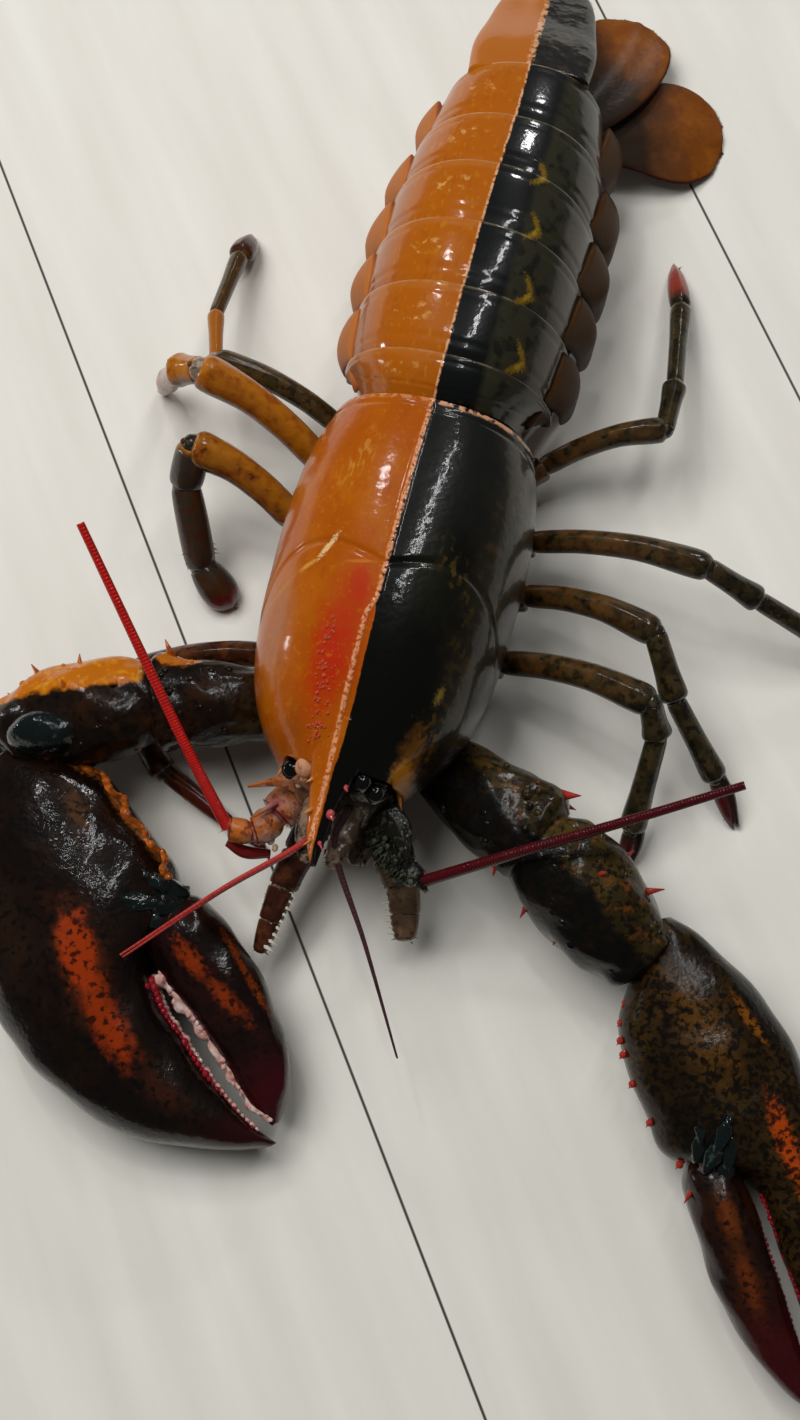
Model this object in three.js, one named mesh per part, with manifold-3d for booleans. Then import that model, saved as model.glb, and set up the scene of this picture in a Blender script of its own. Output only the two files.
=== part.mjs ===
// American lobster, life size, in millimetres: +Z up, head toward -Y, the animal's left toward +X.
// It lies on its claws, toes and tail fan, as a museum model without moving joints would.
// While it is modelled, the neck groove crosses the back at x = 0, y = 0 and the floor is z = 0.
import * as THREE from 'three';
import { mergeVertices } from 'three/addons/utils/BufferGeometryUtils.js';
import Module from 'manifold-3d';

// Driving dimensions
const GAP = 0.3; // clearance between neighbouring plates
const SKIN_GAP = 0.35; // clearance where one rounded plate is cut to fit another
const CARAPACE_FRONT = -44; // y of the front edge, beside the eyes
const CARAPACE_REAR = 41.5; // y of the rear edge
const CARAPACE_MIDDLE = 28; // height of the widest line of the flanks
const ROSTRUM_TIP = -65.6;
const BACK_KEEL = 0.7; // how far the midline ridge stands up
const GROOVE_DEPTH = 0.9; // neck groove
const BACK_POWER = 2.15; // roundness of the carapace above its widest line: 2 is an ellipse, more is boxier
const FLANK_POWER = 2.7; // and below it
const ARM_POWER = 2.3; // roundness of the claw arms
const CLAW_POWER = 2.2; // roundness of the claws
const TAIL_POWER = 2.25; // roundness of the tail's arches
const BELLY_SAG = 2.4; // how far the tail's underside sags
const EYES = [['left', 8.8, -44.2, 38.6], ['right', -10.2, -45.4, 38.6]];
const EYE_RADIUS = 2.2;
const SOCKET_RADIUS = 4;
const LOBE_FLARE = 1; // how far a tail lobe's rear edge stands out, and its front edge in
const LOBE_BULGE = 1.6; // how far its middle stands out from both
const LOBE_HALF = 0.75; // half of a tail lobe's thickness
const LOBE_ROOT = 0.6; // how much thicker that is at its root
const LOBE_SPAN = 0.44; // half of a lobe's length, as a share of its tail segment
const LOBE_LEAN = 0.14; // how far back its tip leans, in the same share
const SWIMMERET_DROP = 14; // how far a swimmeret hangs below the belly
const SWIMMERET_HALF = 3.4;
const WHIP_GIRTH = 1.4; // half thickness of a long feeler at its root
const STRAND_GIRTH = [1.6, 1.2, 0.7, 0.35]; // half thickness of a short feeler, root to tip
const STRAND_SPREAD = 1.3; // how far its lower strand drops at each of these places
const MAXILLIPED_GIRTH = [3.4, 3.2, 2.8, 1.6];
const LEG_ARCH = 1.8; // how far the middle of a leg's long segment stands off a straight line
const SPINE_ROOT = 1.2; // how deep a spine's root is sunk
const CRUMB = 0.03; // joins leave slivers smaller than this, which are smoothed away
const FLOOR_BLOCK = 500;
const UP = new THREE.Vector3(0, 0, 1);

// Material colours, seen on the animal: its right half is orange and its left half near black
const ORANGE = 0xb4620e;
const OLIVE = 0x4a3a1a;
const BROWN = 0x3a1c10;
const RUST = 0x6e2a12;
const RED = 0xa81c14;
const MAROON = 0x4c0f12;
const BLACK = 0x050505;

const wasm = await Module();
wasm.setup();

// Smooth values through rows of [place, value, value...]
function profile(rows) {
  const places = rows.map((row) => row[0]);
  const values = rows.flatMap((row) => row.slice(1));
  const curve = new THREE.CubicInterpolant(places, values, rows[0].length - 1);
  return (place) => Array.from(curve.evaluate(place));
}

// One coordinate of a rounded box section: power 2 is an ellipse, and more is boxier
function bow(value, power) {
  return Math.sign(value) * Math.abs(value) ** (2 / power);
}

// Six times the volume inside a triangle mesh, negative where its faces point inward
function signedVolume(position, index) {
  const a = new THREE.Vector3();
  const b = new THREE.Vector3();
  const c = new THREE.Vector3();
  let total = 0;
  for (let i = 0; i < index.count; i += 3) {
    a.fromBufferAttribute(position, index.getX(i));
    b.fromBufferAttribute(position, index.getX(i + 1));
    c.fromBufferAttribute(position, index.getX(i + 2));
    total += a.dot(b.cross(c));
  }
  return total;
}

// The solid inside a closed three.js geometry
function solid(geometry) {
  geometry.deleteAttribute('normal');
  geometry.deleteAttribute('uv');
  const merged = mergeVertices(geometry, 1e-5);
  const corners = new Uint32Array(merged.index.array);
  if (signedVolume(merged.attributes.position, merged.index) < 0) corners.reverse();
  const mesh = new wasm.Mesh({
    numProp: 3,
    vertProperties: new Float32Array(merged.attributes.position.array),
    triVerts: corners,
  });
  return new wasm.Manifold(mesh);
}

// A closed skin of rings: place(t, angle) gives each of its points, and both ends are flat
function loft(sides, steps, place) {
  const geometry = new THREE.CylinderGeometry(1, 1, 1, sides, steps);
  const corner = geometry.attributes.position;
  const turn = (k) => (k / sides) * 2 * Math.PI;
  for (let i = 0; i < corner.count; i += 1) {
    const x = corner.getX(i);
    const z = corner.getZ(i);
    const t = Math.round((corner.getY(i) + 0.5) * steps) / steps;
    const point = new THREE.Vector3();
    if (Math.hypot(x, z) > 0.5) {
      const k = Math.round((Math.atan2(z, x) / (2 * Math.PI)) * sides + sides) % sides;
      point.copy(place(t, turn(k)));
    } else {
      for (let k = 0; k < sides; k += 1) point.add(place(t, turn(k)));
      point.divideScalar(sides);
    }
    corner.setXYZ(i, point.x, point.y, point.z);
  }
  return solid(geometry);
}

// A limb through rows of [x, y, z, half width, half height], its section square to its path
function limb(rows, { sides = 8, steps = 1, up = UP, power = 2, grow = 0, ridge = 0 } = {}) {
  const at = profile(rows.map((row, i) => [i, ...row]));
  const last = rows.length - 1;
  return loft(sides, last * steps, (t, angle) => {
    const s = t * last;
    const [x, y, z, wide, high] = at(s);
    const ahead = new THREE.Vector3(...at(Math.min(s + 0.02, last)));
    ahead.sub(new THREE.Vector3(...at(Math.max(s - 0.02, 0)))).normalize();
    const across = new THREE.Vector3().crossVectors(ahead, up).normalize();
    const above = new THREE.Vector3().crossVectors(across, ahead);
    const point = new THREE.Vector3(x, y, z);
    if (t === 0) point.addScaledVector(ahead, -grow);
    if (t === 1) point.addScaledVector(ahead, grow);
    const crest = Math.abs(angle - Math.PI / 2) < 0.01 ? ridge : 0;
    point.addScaledVector(across, (wide + grow) * bow(Math.cos(angle), power));
    return point.addScaledVector(above, (high + grow) * bow(Math.sin(angle), power) + crest);
  });
}

// A spine, tooth or bristle from a point on a surface toward another, its root sunk in
function spine(root, tip, radius, sides = 5) {
  const from = new THREE.Vector3(...root);
  const ahead = new THREE.Vector3(...tip).sub(from);
  const length = ahead.length() + SPINE_ROOT;
  ahead.normalize();
  const geometry = new THREE.ConeGeometry(radius, length, sides, 1);
  const coneAxis = new THREE.Vector3(0, 1, 0);
  geometry.applyQuaternion(new THREE.Quaternion().setFromUnitVectors(coneAxis, ahead));
  const middle = from.addScaledVector(ahead, length / 2 - SPINE_ROOT);
  geometry.translate(middle.x, middle.y, middle.z);
  return solid(geometry);
}

// A round knob or tooth
function knob(centre, radius) {
  const geometry = new THREE.IcosahedronGeometry(radius, 0);
  geometry.translate(...centre);
  return solid(geometry);
}

// The largest closed piece of a solid
function largest(shape) {
  return shape.decompose().sort((a, b) => b.volume() - a.volume())[0];
}

// Pieces fused to one solid
function fuse(shape, ...more) {
  return more.flat().reduce((whole, piece) => whole.add(piece), shape);
}

// A solid cut clear of its neighbours, which are given with the gap added
function clear(shape, ...neighbours) {
  return neighbours.flat().reduce((whole, piece) => whole.subtract(piece), shape);
}

const floorBlock = new THREE.BoxGeometry(FLOOR_BLOCK, FLOOR_BLOCK, FLOOR_BLOCK);
floorBlock.translate(0, 0, -FLOOR_BLOCK / 2);
const floor = solid(floorBlock);

const lobster = new THREE.Group();

// Adds a named sub-part, its largest closed surface alone, cut level where it meets the floor
function addPart(name, shape, color, roughness = 0.25) {
  const mesh = largest(shape.subtract(floor).simplify(CRUMB)).getMesh();
  const geometry = new THREE.BufferGeometry();
  geometry.setAttribute('position', new THREE.BufferAttribute(mesh.vertProperties, 3));
  geometry.setIndex(new THREE.BufferAttribute(mesh.triVerts, 1));
  const material = new THREE.MeshStandardMaterial({ color, roughness, metalness: 0 });
  const part = new THREE.Mesh(geometry, material);
  part.name = name;
  lobster.add(part);
}

const between = (a, b, share) => a.map((value, k) => value + (b[k] - value) * share);
const SIDES = [[1, 'left'], [-1, 'right']];

// Carapace: rows of [y, half width, top, lower edge]
const carapaceForm = profile([
  [-44, 14.4, 45, 22],
  [-36, 20.6, 48.6, 18.6],
  [-26, 25.2, 51.8, 16.2],
  [-13, 27.6, 54.2, 15.2],
  [0, 28.3, 55, 15],
  [18, 28.4, 54.6, 15],
  [30, 27, 53.4, 15.6],
  [37, 25.2, 52.2, 16.6],
  [41.5, 23.6, 51.4, 18.4],
]);
// Places of its rings along the back, closer together at the neck groove
const CARAPACE_RINGS = [
  CARAPACE_FRONT, -39, -33, -27, -20, -13, -7, -3, -1.5, 0,
  1.5, 4, 10, 17, 24, 30, 35, 39, CARAPACE_REAR,
];

// The rings bend as the neck groove does: back beside the midline, then forward down the flanks
function grooveBend(lean) {
  return 4 * Math.sin(2.6 * lean) - 14 * (lean / (Math.PI / 2)) ** 2.5;
}

function carapaceSkin(grow = 0) {
  const steps = CARAPACE_RINGS.length - 1;
  return loft(32, steps, (t, angle) => {
    const ring = CARAPACE_RINGS[Math.round(t * steps)];
    const lean = Math.min(Math.abs(Math.PI / 2 - angle), Math.PI / 2);
    const share = Math.sin((Math.PI * (ring - CARAPACE_FRONT)) / (CARAPACE_REAR - CARAPACE_FRONT));
    const y = ring + share * grooveBend(angle > Math.PI ? Math.PI / 2 : lean);
    const [wide, top, low] = carapaceForm(y);
    const upper = Math.sin(angle) >= 0;
    const reach = upper ? top - CARAPACE_MIDDLE : CARAPACE_MIDDLE - low;
    const groove = ring === 0 && upper ? GROOVE_DEPTH : 0;
    const keel = Math.abs(angle - Math.PI / 2) < 0.01 ? BACK_KEEL : 0;
    const power = upper ? BACK_POWER : FLANK_POWER;
    const x = (wide - groove + grow) * bow(Math.cos(angle), power);
    const rise = (reach - groove + grow) * bow(Math.sin(angle), power) + keel;
    const end = ring === CARAPACE_FRONT ? -grow : ring === CARAPACE_REAR ? grow : 0;
    return new THREE.Vector3(x, y + end, CARAPACE_MIDDLE + rise);
  });
}

const rostrumRows = [
  [0, -33, 45.6, 8, 3.4],
  [0, -43, 43.6, 5.6, 2.7],
  [0, -51, 42.3, 3.2, 2],
  [0, -59, 42.1, 1.9, 1.5],
  [0, ROSTRUM_TIP, 42.4, 0.5, 0.4],
];
// Spines of the rostrum: [place, half width there, how far they stand out]
const ROSTRUM_SPINES = [[-47, 4.2, 1.8], [-53, 2.7, 1.6], [-59, 1.8, 1.2]];
const carapaceSpines = [];
const sockets = [];
for (const [, ...eye] of EYES) sockets.push(knob(eye, SOCKET_RADIUS));
for (const [side] of SIDES) {
  for (const [y, half, out] of ROSTRUM_SPINES) {
    const root = [side * (half - 0.6), y + 1, 42.6];
    carapaceSpines.push(spine(root, [side * (half + out), y - 2, 44.4], 1));
  }
  carapaceSpines.push(spine([side * 12.5, -42, 31.5], [side * 14.5, -47, 31.5], 1.3));
}
const carapaceBody = clear(fuse(carapaceSkin(), limb(rostrumRows, { sides: 8, steps: 2 })), sockets);
addPart('carapace', fuse(carapaceBody, carapaceSpines), ORANGE, 0.15);
const carapaceRoom = carapaceSkin(SKIN_GAP);
const socketRoom = clear(carapaceRoom, sockets);

// Head front, under the rostrum, that carries the eyes and both pairs of feelers
const headRows = [
  [0, CARAPACE_FRONT - GAP, 28.5, 12, 8],
  [0, -47, 28.5, 11.2, 7.4],
  [0, -50, 29, 8.6, 6.4],
  [0, -52, 29.5, 4.5, 4],
];
const headShape = { sides: 14, power: 2.6 };
addPart('head_front', limb(headRows, headShape), OLIVE);
const headRoom = limb(headRows, { ...headShape, grow: SKIN_GAP });

// Mouthparts below the head, between the third maxillipeds and the sternum
const mouthRows = [
  [0, -30, 12, 8, 5],
  [0, -36, 12.6, 9.4, 5.6],
  [0, -43, 14, 9, 5.6],
  [0, -46.5, 15.4, 5.6, 3.6],
];
const mouthShape = { sides: 14, power: 2.4 };
const mouth = clear(limb(mouthRows, mouthShape), carapaceRoom, headRoom);
addPart('mouthparts', mouth, OLIVE, 0.4);
const mouthRoom = limb(mouthRows, { ...mouthShape, grow: SKIN_GAP });

// Sternum: the keel of the underside, to which the legs are jointed
const sternumRows = [
  [0, -29.6 + GAP, 10, 7, 4.4],
  [0, -12, 9.9, 9, 4.6],
  [0, 8, 9.9, 10.6, 4.6],
  [0, 28, 9.9, 12, 4.6],
  [0, 39, 10.2, 11, 4.2],
];
const sternumShape = { sides: 12, steps: 2, power: 3 };
addPart('sternum', clear(limb(sternumRows, sternumShape), carapaceRoom, mouthRoom), OLIVE, 0.4);
const sternumRoom = limb(sternumRows, { ...sternumShape, grow: SKIN_GAP });

// Eyes: a short stalk and a round cornea, in the notch beside the rostrum
for (const [word, x, y, z] of EYES) {
  const stalkRows = [[x * 0.5, -47.4, z - 3.4, 1.6, 1.6], [x * 0.86, y - 0.2, z - 0.6, 1.7, 1.7]];
  const stalk = limb(stalkRows, { sides: 6 });
  const cornea = new THREE.SphereGeometry(EYE_RADIUS, 10, 6);
  cornea.translate(x, y, z);
  addPart(`eye_${word}`, clear(fuse(solid(cornea), stalk), headRoom, socketRoom), BLACK, 0.05);
}

// Feelers: each pair bends its own way, so their paths are set side by side
const ANTENNAE = [
  {
    word: 'left',
    base: [[9, -45.5, 25, 4.2, 4], [13.5, -52, 25, 4.4, 4.2],
      [17, -57.5, 25, 3.4, 3.2], [21.6, -60, 25, 2.4, 2.4]],
    scale: [[11, -47.5, 30, 3, 1.2], [15, -51, 30.6, 2.8, 1], [18.5, -57, 30.6, 0.5, 0.4]],
    whip: [[21.9, -60.3, 25], [41.9, -50.3, 34], [63.2, -39, 39], [84.9, -27.3, 45]],
    color: MAROON,
    baseColor: OLIVE,
  },
  {
    word: 'right',
    base: [[-9, -45.5, 25, 4.2, 4], [-12.5, -52.5, 25, 4.4, 4.2],
      [-16.5, -58, 25.4, 3.2, 3], [-22.4, -59, 26, 2.6, 2.6]],
    scale: [[-10.5, -47.5, 30, 3, 1.2], [-14.6, -49.4, 30.4, 2.8, 1], [-19.2, -48.6, 30.6, 0.5, 0.4]],
    whip: [[-22.5, -58.9, 26], [-33.9, -46.3, 33], [-49.4, -27.9, 42], [-67.3, -6.4, 54]],
    color: RED,
    baseColor: ORANGE,
  },
];
for (const { word, base, scale, whip, color, baseColor } of ANTENNAE) {
  const baseShape = { sides: 10, steps: 2 };
  const plate = limb(scale, { sides: 8, steps: 2 });
  const arm = clear(fuse(limb(base, baseShape), plate), headRoom, carapaceRoom);
  addPart(`antenna_base_${word}`, arm, baseColor);
  const whipRows = whip.map((point, i) => [...point, WHIP_GIRTH - 0.15 * i, WHIP_GIRTH - 0.15 * i]);
  const baseRoom = limb(base, { ...baseShape, grow: SKIN_GAP });
  addPart(`antenna_${word}`, clear(limb(whipRows, { steps: 4 }), baseRoom), color);
}

const ANTENNULES = [
  {
    word: 'left',
    path: [[3.4, -50, 34.5], [2.9, -59.5, 34], [13.9, -77.1, 28], [25.9, -97.8, 18]],
    color: BROWN,
  },
  {
    word: 'right',
    path: [[-3.4, -50, 35], [-2.5, -58, 35.6], [-18.7, -74.3, 36], [-35.8, -92.8, 35]],
    color: RED,
  },
];
for (const { word, path, color } of ANTENNULES) {
  const upper = path.map((point, i) => [...point, STRAND_GIRTH[i], STRAND_GIRTH[i]]);
  const lower = upper.map(([x, y, z, girth], i) => [x, y, z - STRAND_SPREAD * i, girth * 0.8, girth * 0.8]);
  const strands = fuse(limb(upper, { sides: 6, steps: 3 }), limb(lower, { sides: 5, steps: 3 }));
  addPart(`antennule_${word}`, clear(strands, headRoom), color);
}

// Third maxillipeds: leg-like jaws that reach forward below the head, toothed on the inner edge
const MAXILLIPEDS = [
  {
    word: 'left',
    side: 1,
    path: [[5.5, -42, 11.5], [11, -52, 12.5], [17.3, -60, 12], [20.8, -71.5, 9.5]],
  },
  {
    word: 'right',
    side: -1,
    path: [[-5.5, -42, 11.5], [-7, -55, 12.5], [-9.4, -67, 11], [-11, -82, 8.5]],
  },
];
for (const { word, side, path } of MAXILLIPEDS) {
  const rows = path.map((point, i) => [...point, MAXILLIPED_GIRTH[i], MAXILLIPED_GIRTH[i] * 0.8]);
  const teeth = [];
  for (let i = 0; i < 7; i += 1) {
    const [x, y, z] = between(path[1], path[3], 0.25 + 0.11 * i);
    teeth.push(spine([x - side * 1.4, y, z], [x - side * 4.2, y - 1, z], 0.7, 4));
  }
  const shape = fuse(limb(rows, { sides: 10, steps: 3 }), teeth);
  addPart(`maxilliped_${word}`, clear(shape, mouthRoom, headRoom, carapaceRoom), BROWN);
}

// Walking legs: hip on the sternum, then the joints outward to the toe on the floor
const WALKING_LEGS = [
  { name: 'left_2', hip: [9, -8, 9.4], rise: [27, -3, 13.4], knee: [62.2, -8.7, 27],
    wrist: [65.6, -14.1, 21], ankle: [65.1, -33.4, 7], toe: [65, -41.4, 0.4],
    girth: 3.3, pincer: true, color: OLIVE },
  { name: 'left_3', hip: [10, 7, 9.4], rise: [28.6, 14.4, 13.6], knee: [59.8, 8.1, 26],
    wrist: [67.8, -4.2, 19], ankle: [81.3, -17, 8], toe: [88.1, -25.9, 0.4],
    girth: 3.2, pincer: true, color: OLIVE },
  { name: 'left_4', hip: [10.6, 20, 9.4], rise: [27, 28, 13.4], knee: [68.4, 27.1, 24],
    wrist: [81.5, 24.8, 17], ankle: [105.6, 20.4, 6], toe: [114.9, 17.4, 0.4],
    girth: 3.1, color: OLIVE },
  { name: 'left_5', hip: [11, 32, 9.4], rise: [25, 48.5, 11], knee: [51.5, 60.6, 20],
    wrist: [51.4, 74.2, 17], ankle: [48.5, 100.4, 7], toe: [44.1, 115.6, 0.4],
    girth: 2.8, color: OLIVE },
  { name: 'right_2', hip: [-9, -8, 9.4], rise: [-27, -13, 9.4], knee: [-58, -24, 5.4],
    wrist: [-60, -31.5, 4.6], ankle: [-45, -45.5, 4.2], toe: [-17, -57.5, 0.6],
    girth: 3.4, pincer: true, color: BROWN },
  { name: 'right_3', hip: [-10, 7, 9.4], rise: [-30, 20.5, 13], knee: [-55.4, 27.6, 27],
    wrist: [-56.4, 20.4, 20], ankle: [-50, 5.6, 7], toe: [-41.4, -0.6, 0.4],
    girth: 4, pincer: true, color: RUST },
  { name: 'right_4', hip: [-10.6, 20, 9.4], rise: [-28, 36.8, 13], knee: [-58, 44.9, 32],
    wrist: [-64.5, 45.9, 27], ankle: [-71, 49.8, 10], toe: [-74.2, 51.3, -0.2],
    girth: 4, color: ORANGE },
  { name: 'right_5', hip: [-11, 32, 9.4], rise: [-26, 47.5, 11], knee: [-57.9, 53, 21],
    wrist: [-62.8, 67.7, 16], ankle: [-63.8, 89.3, 7], toe: [-63.6, 98.6, 0.4],
    girth: 2.9, color: RUST },
];
// A leg segment narrows at its near end and swells to its far joint: [share of length, share of girth]
const SEGMENT_SWELL = [[0.06, 0.82], [0.5, 0.94], [0.92, 1.08]];
// The pincer's second finger, root to tip, as shares of the girth: [how far off, half thickness]
const PINCER_FINGER = [[0.25, 0.5], [0.62, 0.4], [0.43, 0.14]];

function legRows(joints, girths) {
  const rows = [];
  girths.forEach((girth, i) => {
    for (const [share, swell] of SEGMENT_SWELL) {
      rows.push([...between(joints[i], joints[i + 1], share), girth * swell, girth * swell * 0.9]);
    }
  });
  return rows;
}

const legRooms = {};
for (const { name, hip, rise, knee, wrist, ankle, toe, girth, pincer, color } of WALKING_LEGS) {
  const upperRows = legRows([hip, between(hip, rise, 0.45), rise, knee], [girth * 1.1, girth, girth]);
  // The long segment arches a little
  const arch = upperRows[upperRows.length - 2];
  arch[1] += LEG_ARCH;
  arch[2] += LEG_ARCH;
  upperRows.push([...between(rise, knee, 1.02), girth * 0.7, girth * 0.63]);
  addPart(`leg_${name}_upper`, clear(limb(upperRows, { sides: 6 }), sternumRoom, carapaceRoom), color);
  const upperRoom = limb(upperRows, { sides: 6, grow: SKIN_GAP });
  const lowerRows = legRows([knee, wrist, ankle, toe], [girth * 0.86, girth * 0.8, girth * 0.52]);
  const last = lowerRows.length - 1;
  lowerRows[last] = [...toe, girth * 0.22, girth * 0.22];
  const pieces = [limb(lowerRows, { sides: 6 })];
  if (pincer) {
    const places = [between(wrist, ankle, 0.86), between(ankle, toe, 0.3), between(ankle, toe, 0.94)];
    const fingerRows = places.map(([x, y, z], i) => {
      const [off, half] = PINCER_FINGER[i];
      return [x + girth * off, y, z + 0.3, girth * half, girth * half];
    });
    pieces.push(limb(fingerRows, { sides: 5 }));
  }
  addPart(`leg_${name}_lower`, clear(fuse(...pieces), upperRoom), color);
  legRooms[name] = [upperRoom, limb(lowerRows, { sides: 6, grow: SKIN_GAP })];
}

// Claw arms: the right one ends in the crusher, the left one in the cutter
const ARMS = [
  {
    word: 'right',
    color: BROWN,
    merus: [[-10, -25, 10.5, 4.6, 4], [-18, -26.6, 14, 7, 5.4], [-26, -28, 18, 8.6, 7],
      [-36, -30.6, 20.4, 10, 8.4], [-45, -33, 21, 11, 9], [-49, -34.4, 21, 8, 6.6]],
    carpus: [[-46, -33.6, 21, 8, 7], [-52, -35.4, 21, 10.8, 9.4], [-62, -39.4, 20.6, 12.2, 10.6],
      [-70.6, -43.8, 19.6, 12, 10.2], [-76.6, -48, 17.8, 9, 8.4], [-79, -50.6, 16.6, 5.6, 5.4]],
    armSpines: [[[-46, -23.4, 25], [-48.4, -20, 27], 1.6], [[-47, -42.4, 21], [-49, -46.4, 21.6], 1.5],
      [[-58, -29.6, 24], [-58.4, -26.2, 25.6], 1.6], [[-66, -31.8, 24], [-67, -27.6, 25.6], 1.7],
      [[-73, -36, 23.4], [-77.4, -32.4, 24.6], 2], [[-77.6, -41, 20], [-82, -39.4, 20.6], 1.8],
      [[-66, -38, 29.6], [-67.4, -36, 32.4], 1.5]],
    wrist: [-72, -50],
    tip: [3.4, -122],
    outward: -1,
    palm: [[-2, 1, 12, 6, 16.4], [5, -5, 20, 10, 15.4], [14, -10.3, 27.5, 13, 14.6],
      [28, -12, 34, 14.4, 13.9], [42, -12.6, 37, 14.4, 13.8], [50, -8, 37.8, 14, 13.6],
      [56, 1.5, 37.4, 13.2, 13.1], [64, 4.6, 36, 12, 12.5], [76, 4.6, 32, 10.4, 11.6],
      [87, 3.8, 25.3, 8.6, 10.8], [95.5, 2.4, 15.6, 6.6, 10], [101.5, 0.6, 7.2, 4, 9.4],
      [104.6, -0.8, 0.8, 0.8, 9]],
    finger: [[46, -9.6, -4, 3, 14.4], [48.5, -13.8, 0, 6.5, 14.4], [54, -16, 2.4, 9.2, 14.2],
      [62.5, -17, 2, 9, 13.6], [76.7, -16.4, 0.6, 7.8, 12.6], [89, -13.5, 0.2, 6, 11.2],
      [96.5, -9, -0.4, 4.2, 10.2], [101, -3.6, -1.8, 1, 9.2]],
    teeth: { from: 63, to: 98, count: 8, radius: 1.9, round: true },
    edgeSpines: { from: 8, to: 43, count: 7, length: 1.4, radius: 2.2, lift: 6 },
  },
  {
    word: 'left',
    color: OLIVE,
    merus: [[9.6, -25, 10.5, 4.6, 4], [16, -29, 14, 7, 5.4], [24, -33.6, 18, 9, 7],
      [34, -39, 20.4, 11, 8.4], [43, -42.6, 21, 11.6, 9], [47.4, -44.4, 21, 8, 6.6]],
    carpus: [[44.6, -43.4, 21, 8, 7], [49, -47, 21, 11.4, 9.4], [57, -52.6, 20.4, 12.8, 10.2],
      [66, -59.4, 18.6, 11.4, 9.4], [72, -63.4, 16.6, 8.6, 8], [74.4, -65, 15.8, 5.4, 5.4]],
    armSpines: [[[49, -33.4, 25], [54, -32.6, 26.6], 1.5], [[49, -34, 18], [54, -34.6, 17], 1.4],
      [[37, -50, 20], [37, -54.4, 20.6], 1.4], [[46, -58, 20], [45, -62, 20.4], 1.4],
      [[54, -62, 19], [53.4, -66, 19.4], 1.4], [[60, -50, 30], [62, -49, 33], 1.4],
      [[68.6, -50.6, 22], [74.4, -48.6, 23.4], 1.8], [[63, -45.2, 22], [66, -41.6, 23], 1.6]],
    wrist: [71.8, -59.8],
    tip: [134, -143],
    outward: 1,
    palm: [[-2, 2, 8.5, 6, 14.8], [3, -1, 12.2, 8, 14], [9, -7, 15.6, 10, 13],
      [16, -12, 18.6, 11.2, 12.4], [26, -13.9, 21, 11.8, 11.7], [36, -13.9, 22, 11.6, 11.4],
      [45, -13, 21.6, 11, 11.2], [51, -6, 20.6, 10.4, 11], [57, 0.9, 19.4, 9.6, 10.8],
      [66, 1.4, 16.8, 8.6, 10.6], [78, 0.4, 13.6, 7.2, 10.2], [88, -0.4, 10.6, 6, 9.6],
      [96, -1.4, 7, 4.4, 9.2], [102, -2.6, 2.6, 2.4, 9], [105, -3.2, -1.6, 0.7, 9]],
    finger: [[47, -9, -3.5, 3, 12], [49.5, -12, -0.6, 5.5, 12], [55, -13.6, -0.4, 7.4, 11.8],
      [63, -14.6, -0.8, 7.4, 11.4], [74, -15.4, -1.8, 6.6, 10.8], [86, -14.4, -3.2, 5.4, 10.2],
      [95, -11.8, -4.4, 4, 9.6], [101, -9, -5.6, 2.4, 9.2], [105, -5.8, -4.8, 0.7, 9]],
    teeth: { from: 61, to: 99, count: 13, radius: 0.95, round: false },
    edgeSpines: { from: 13, to: 46, count: 5, length: 3, radius: 1.3, lift: 2 },
  },
];

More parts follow.
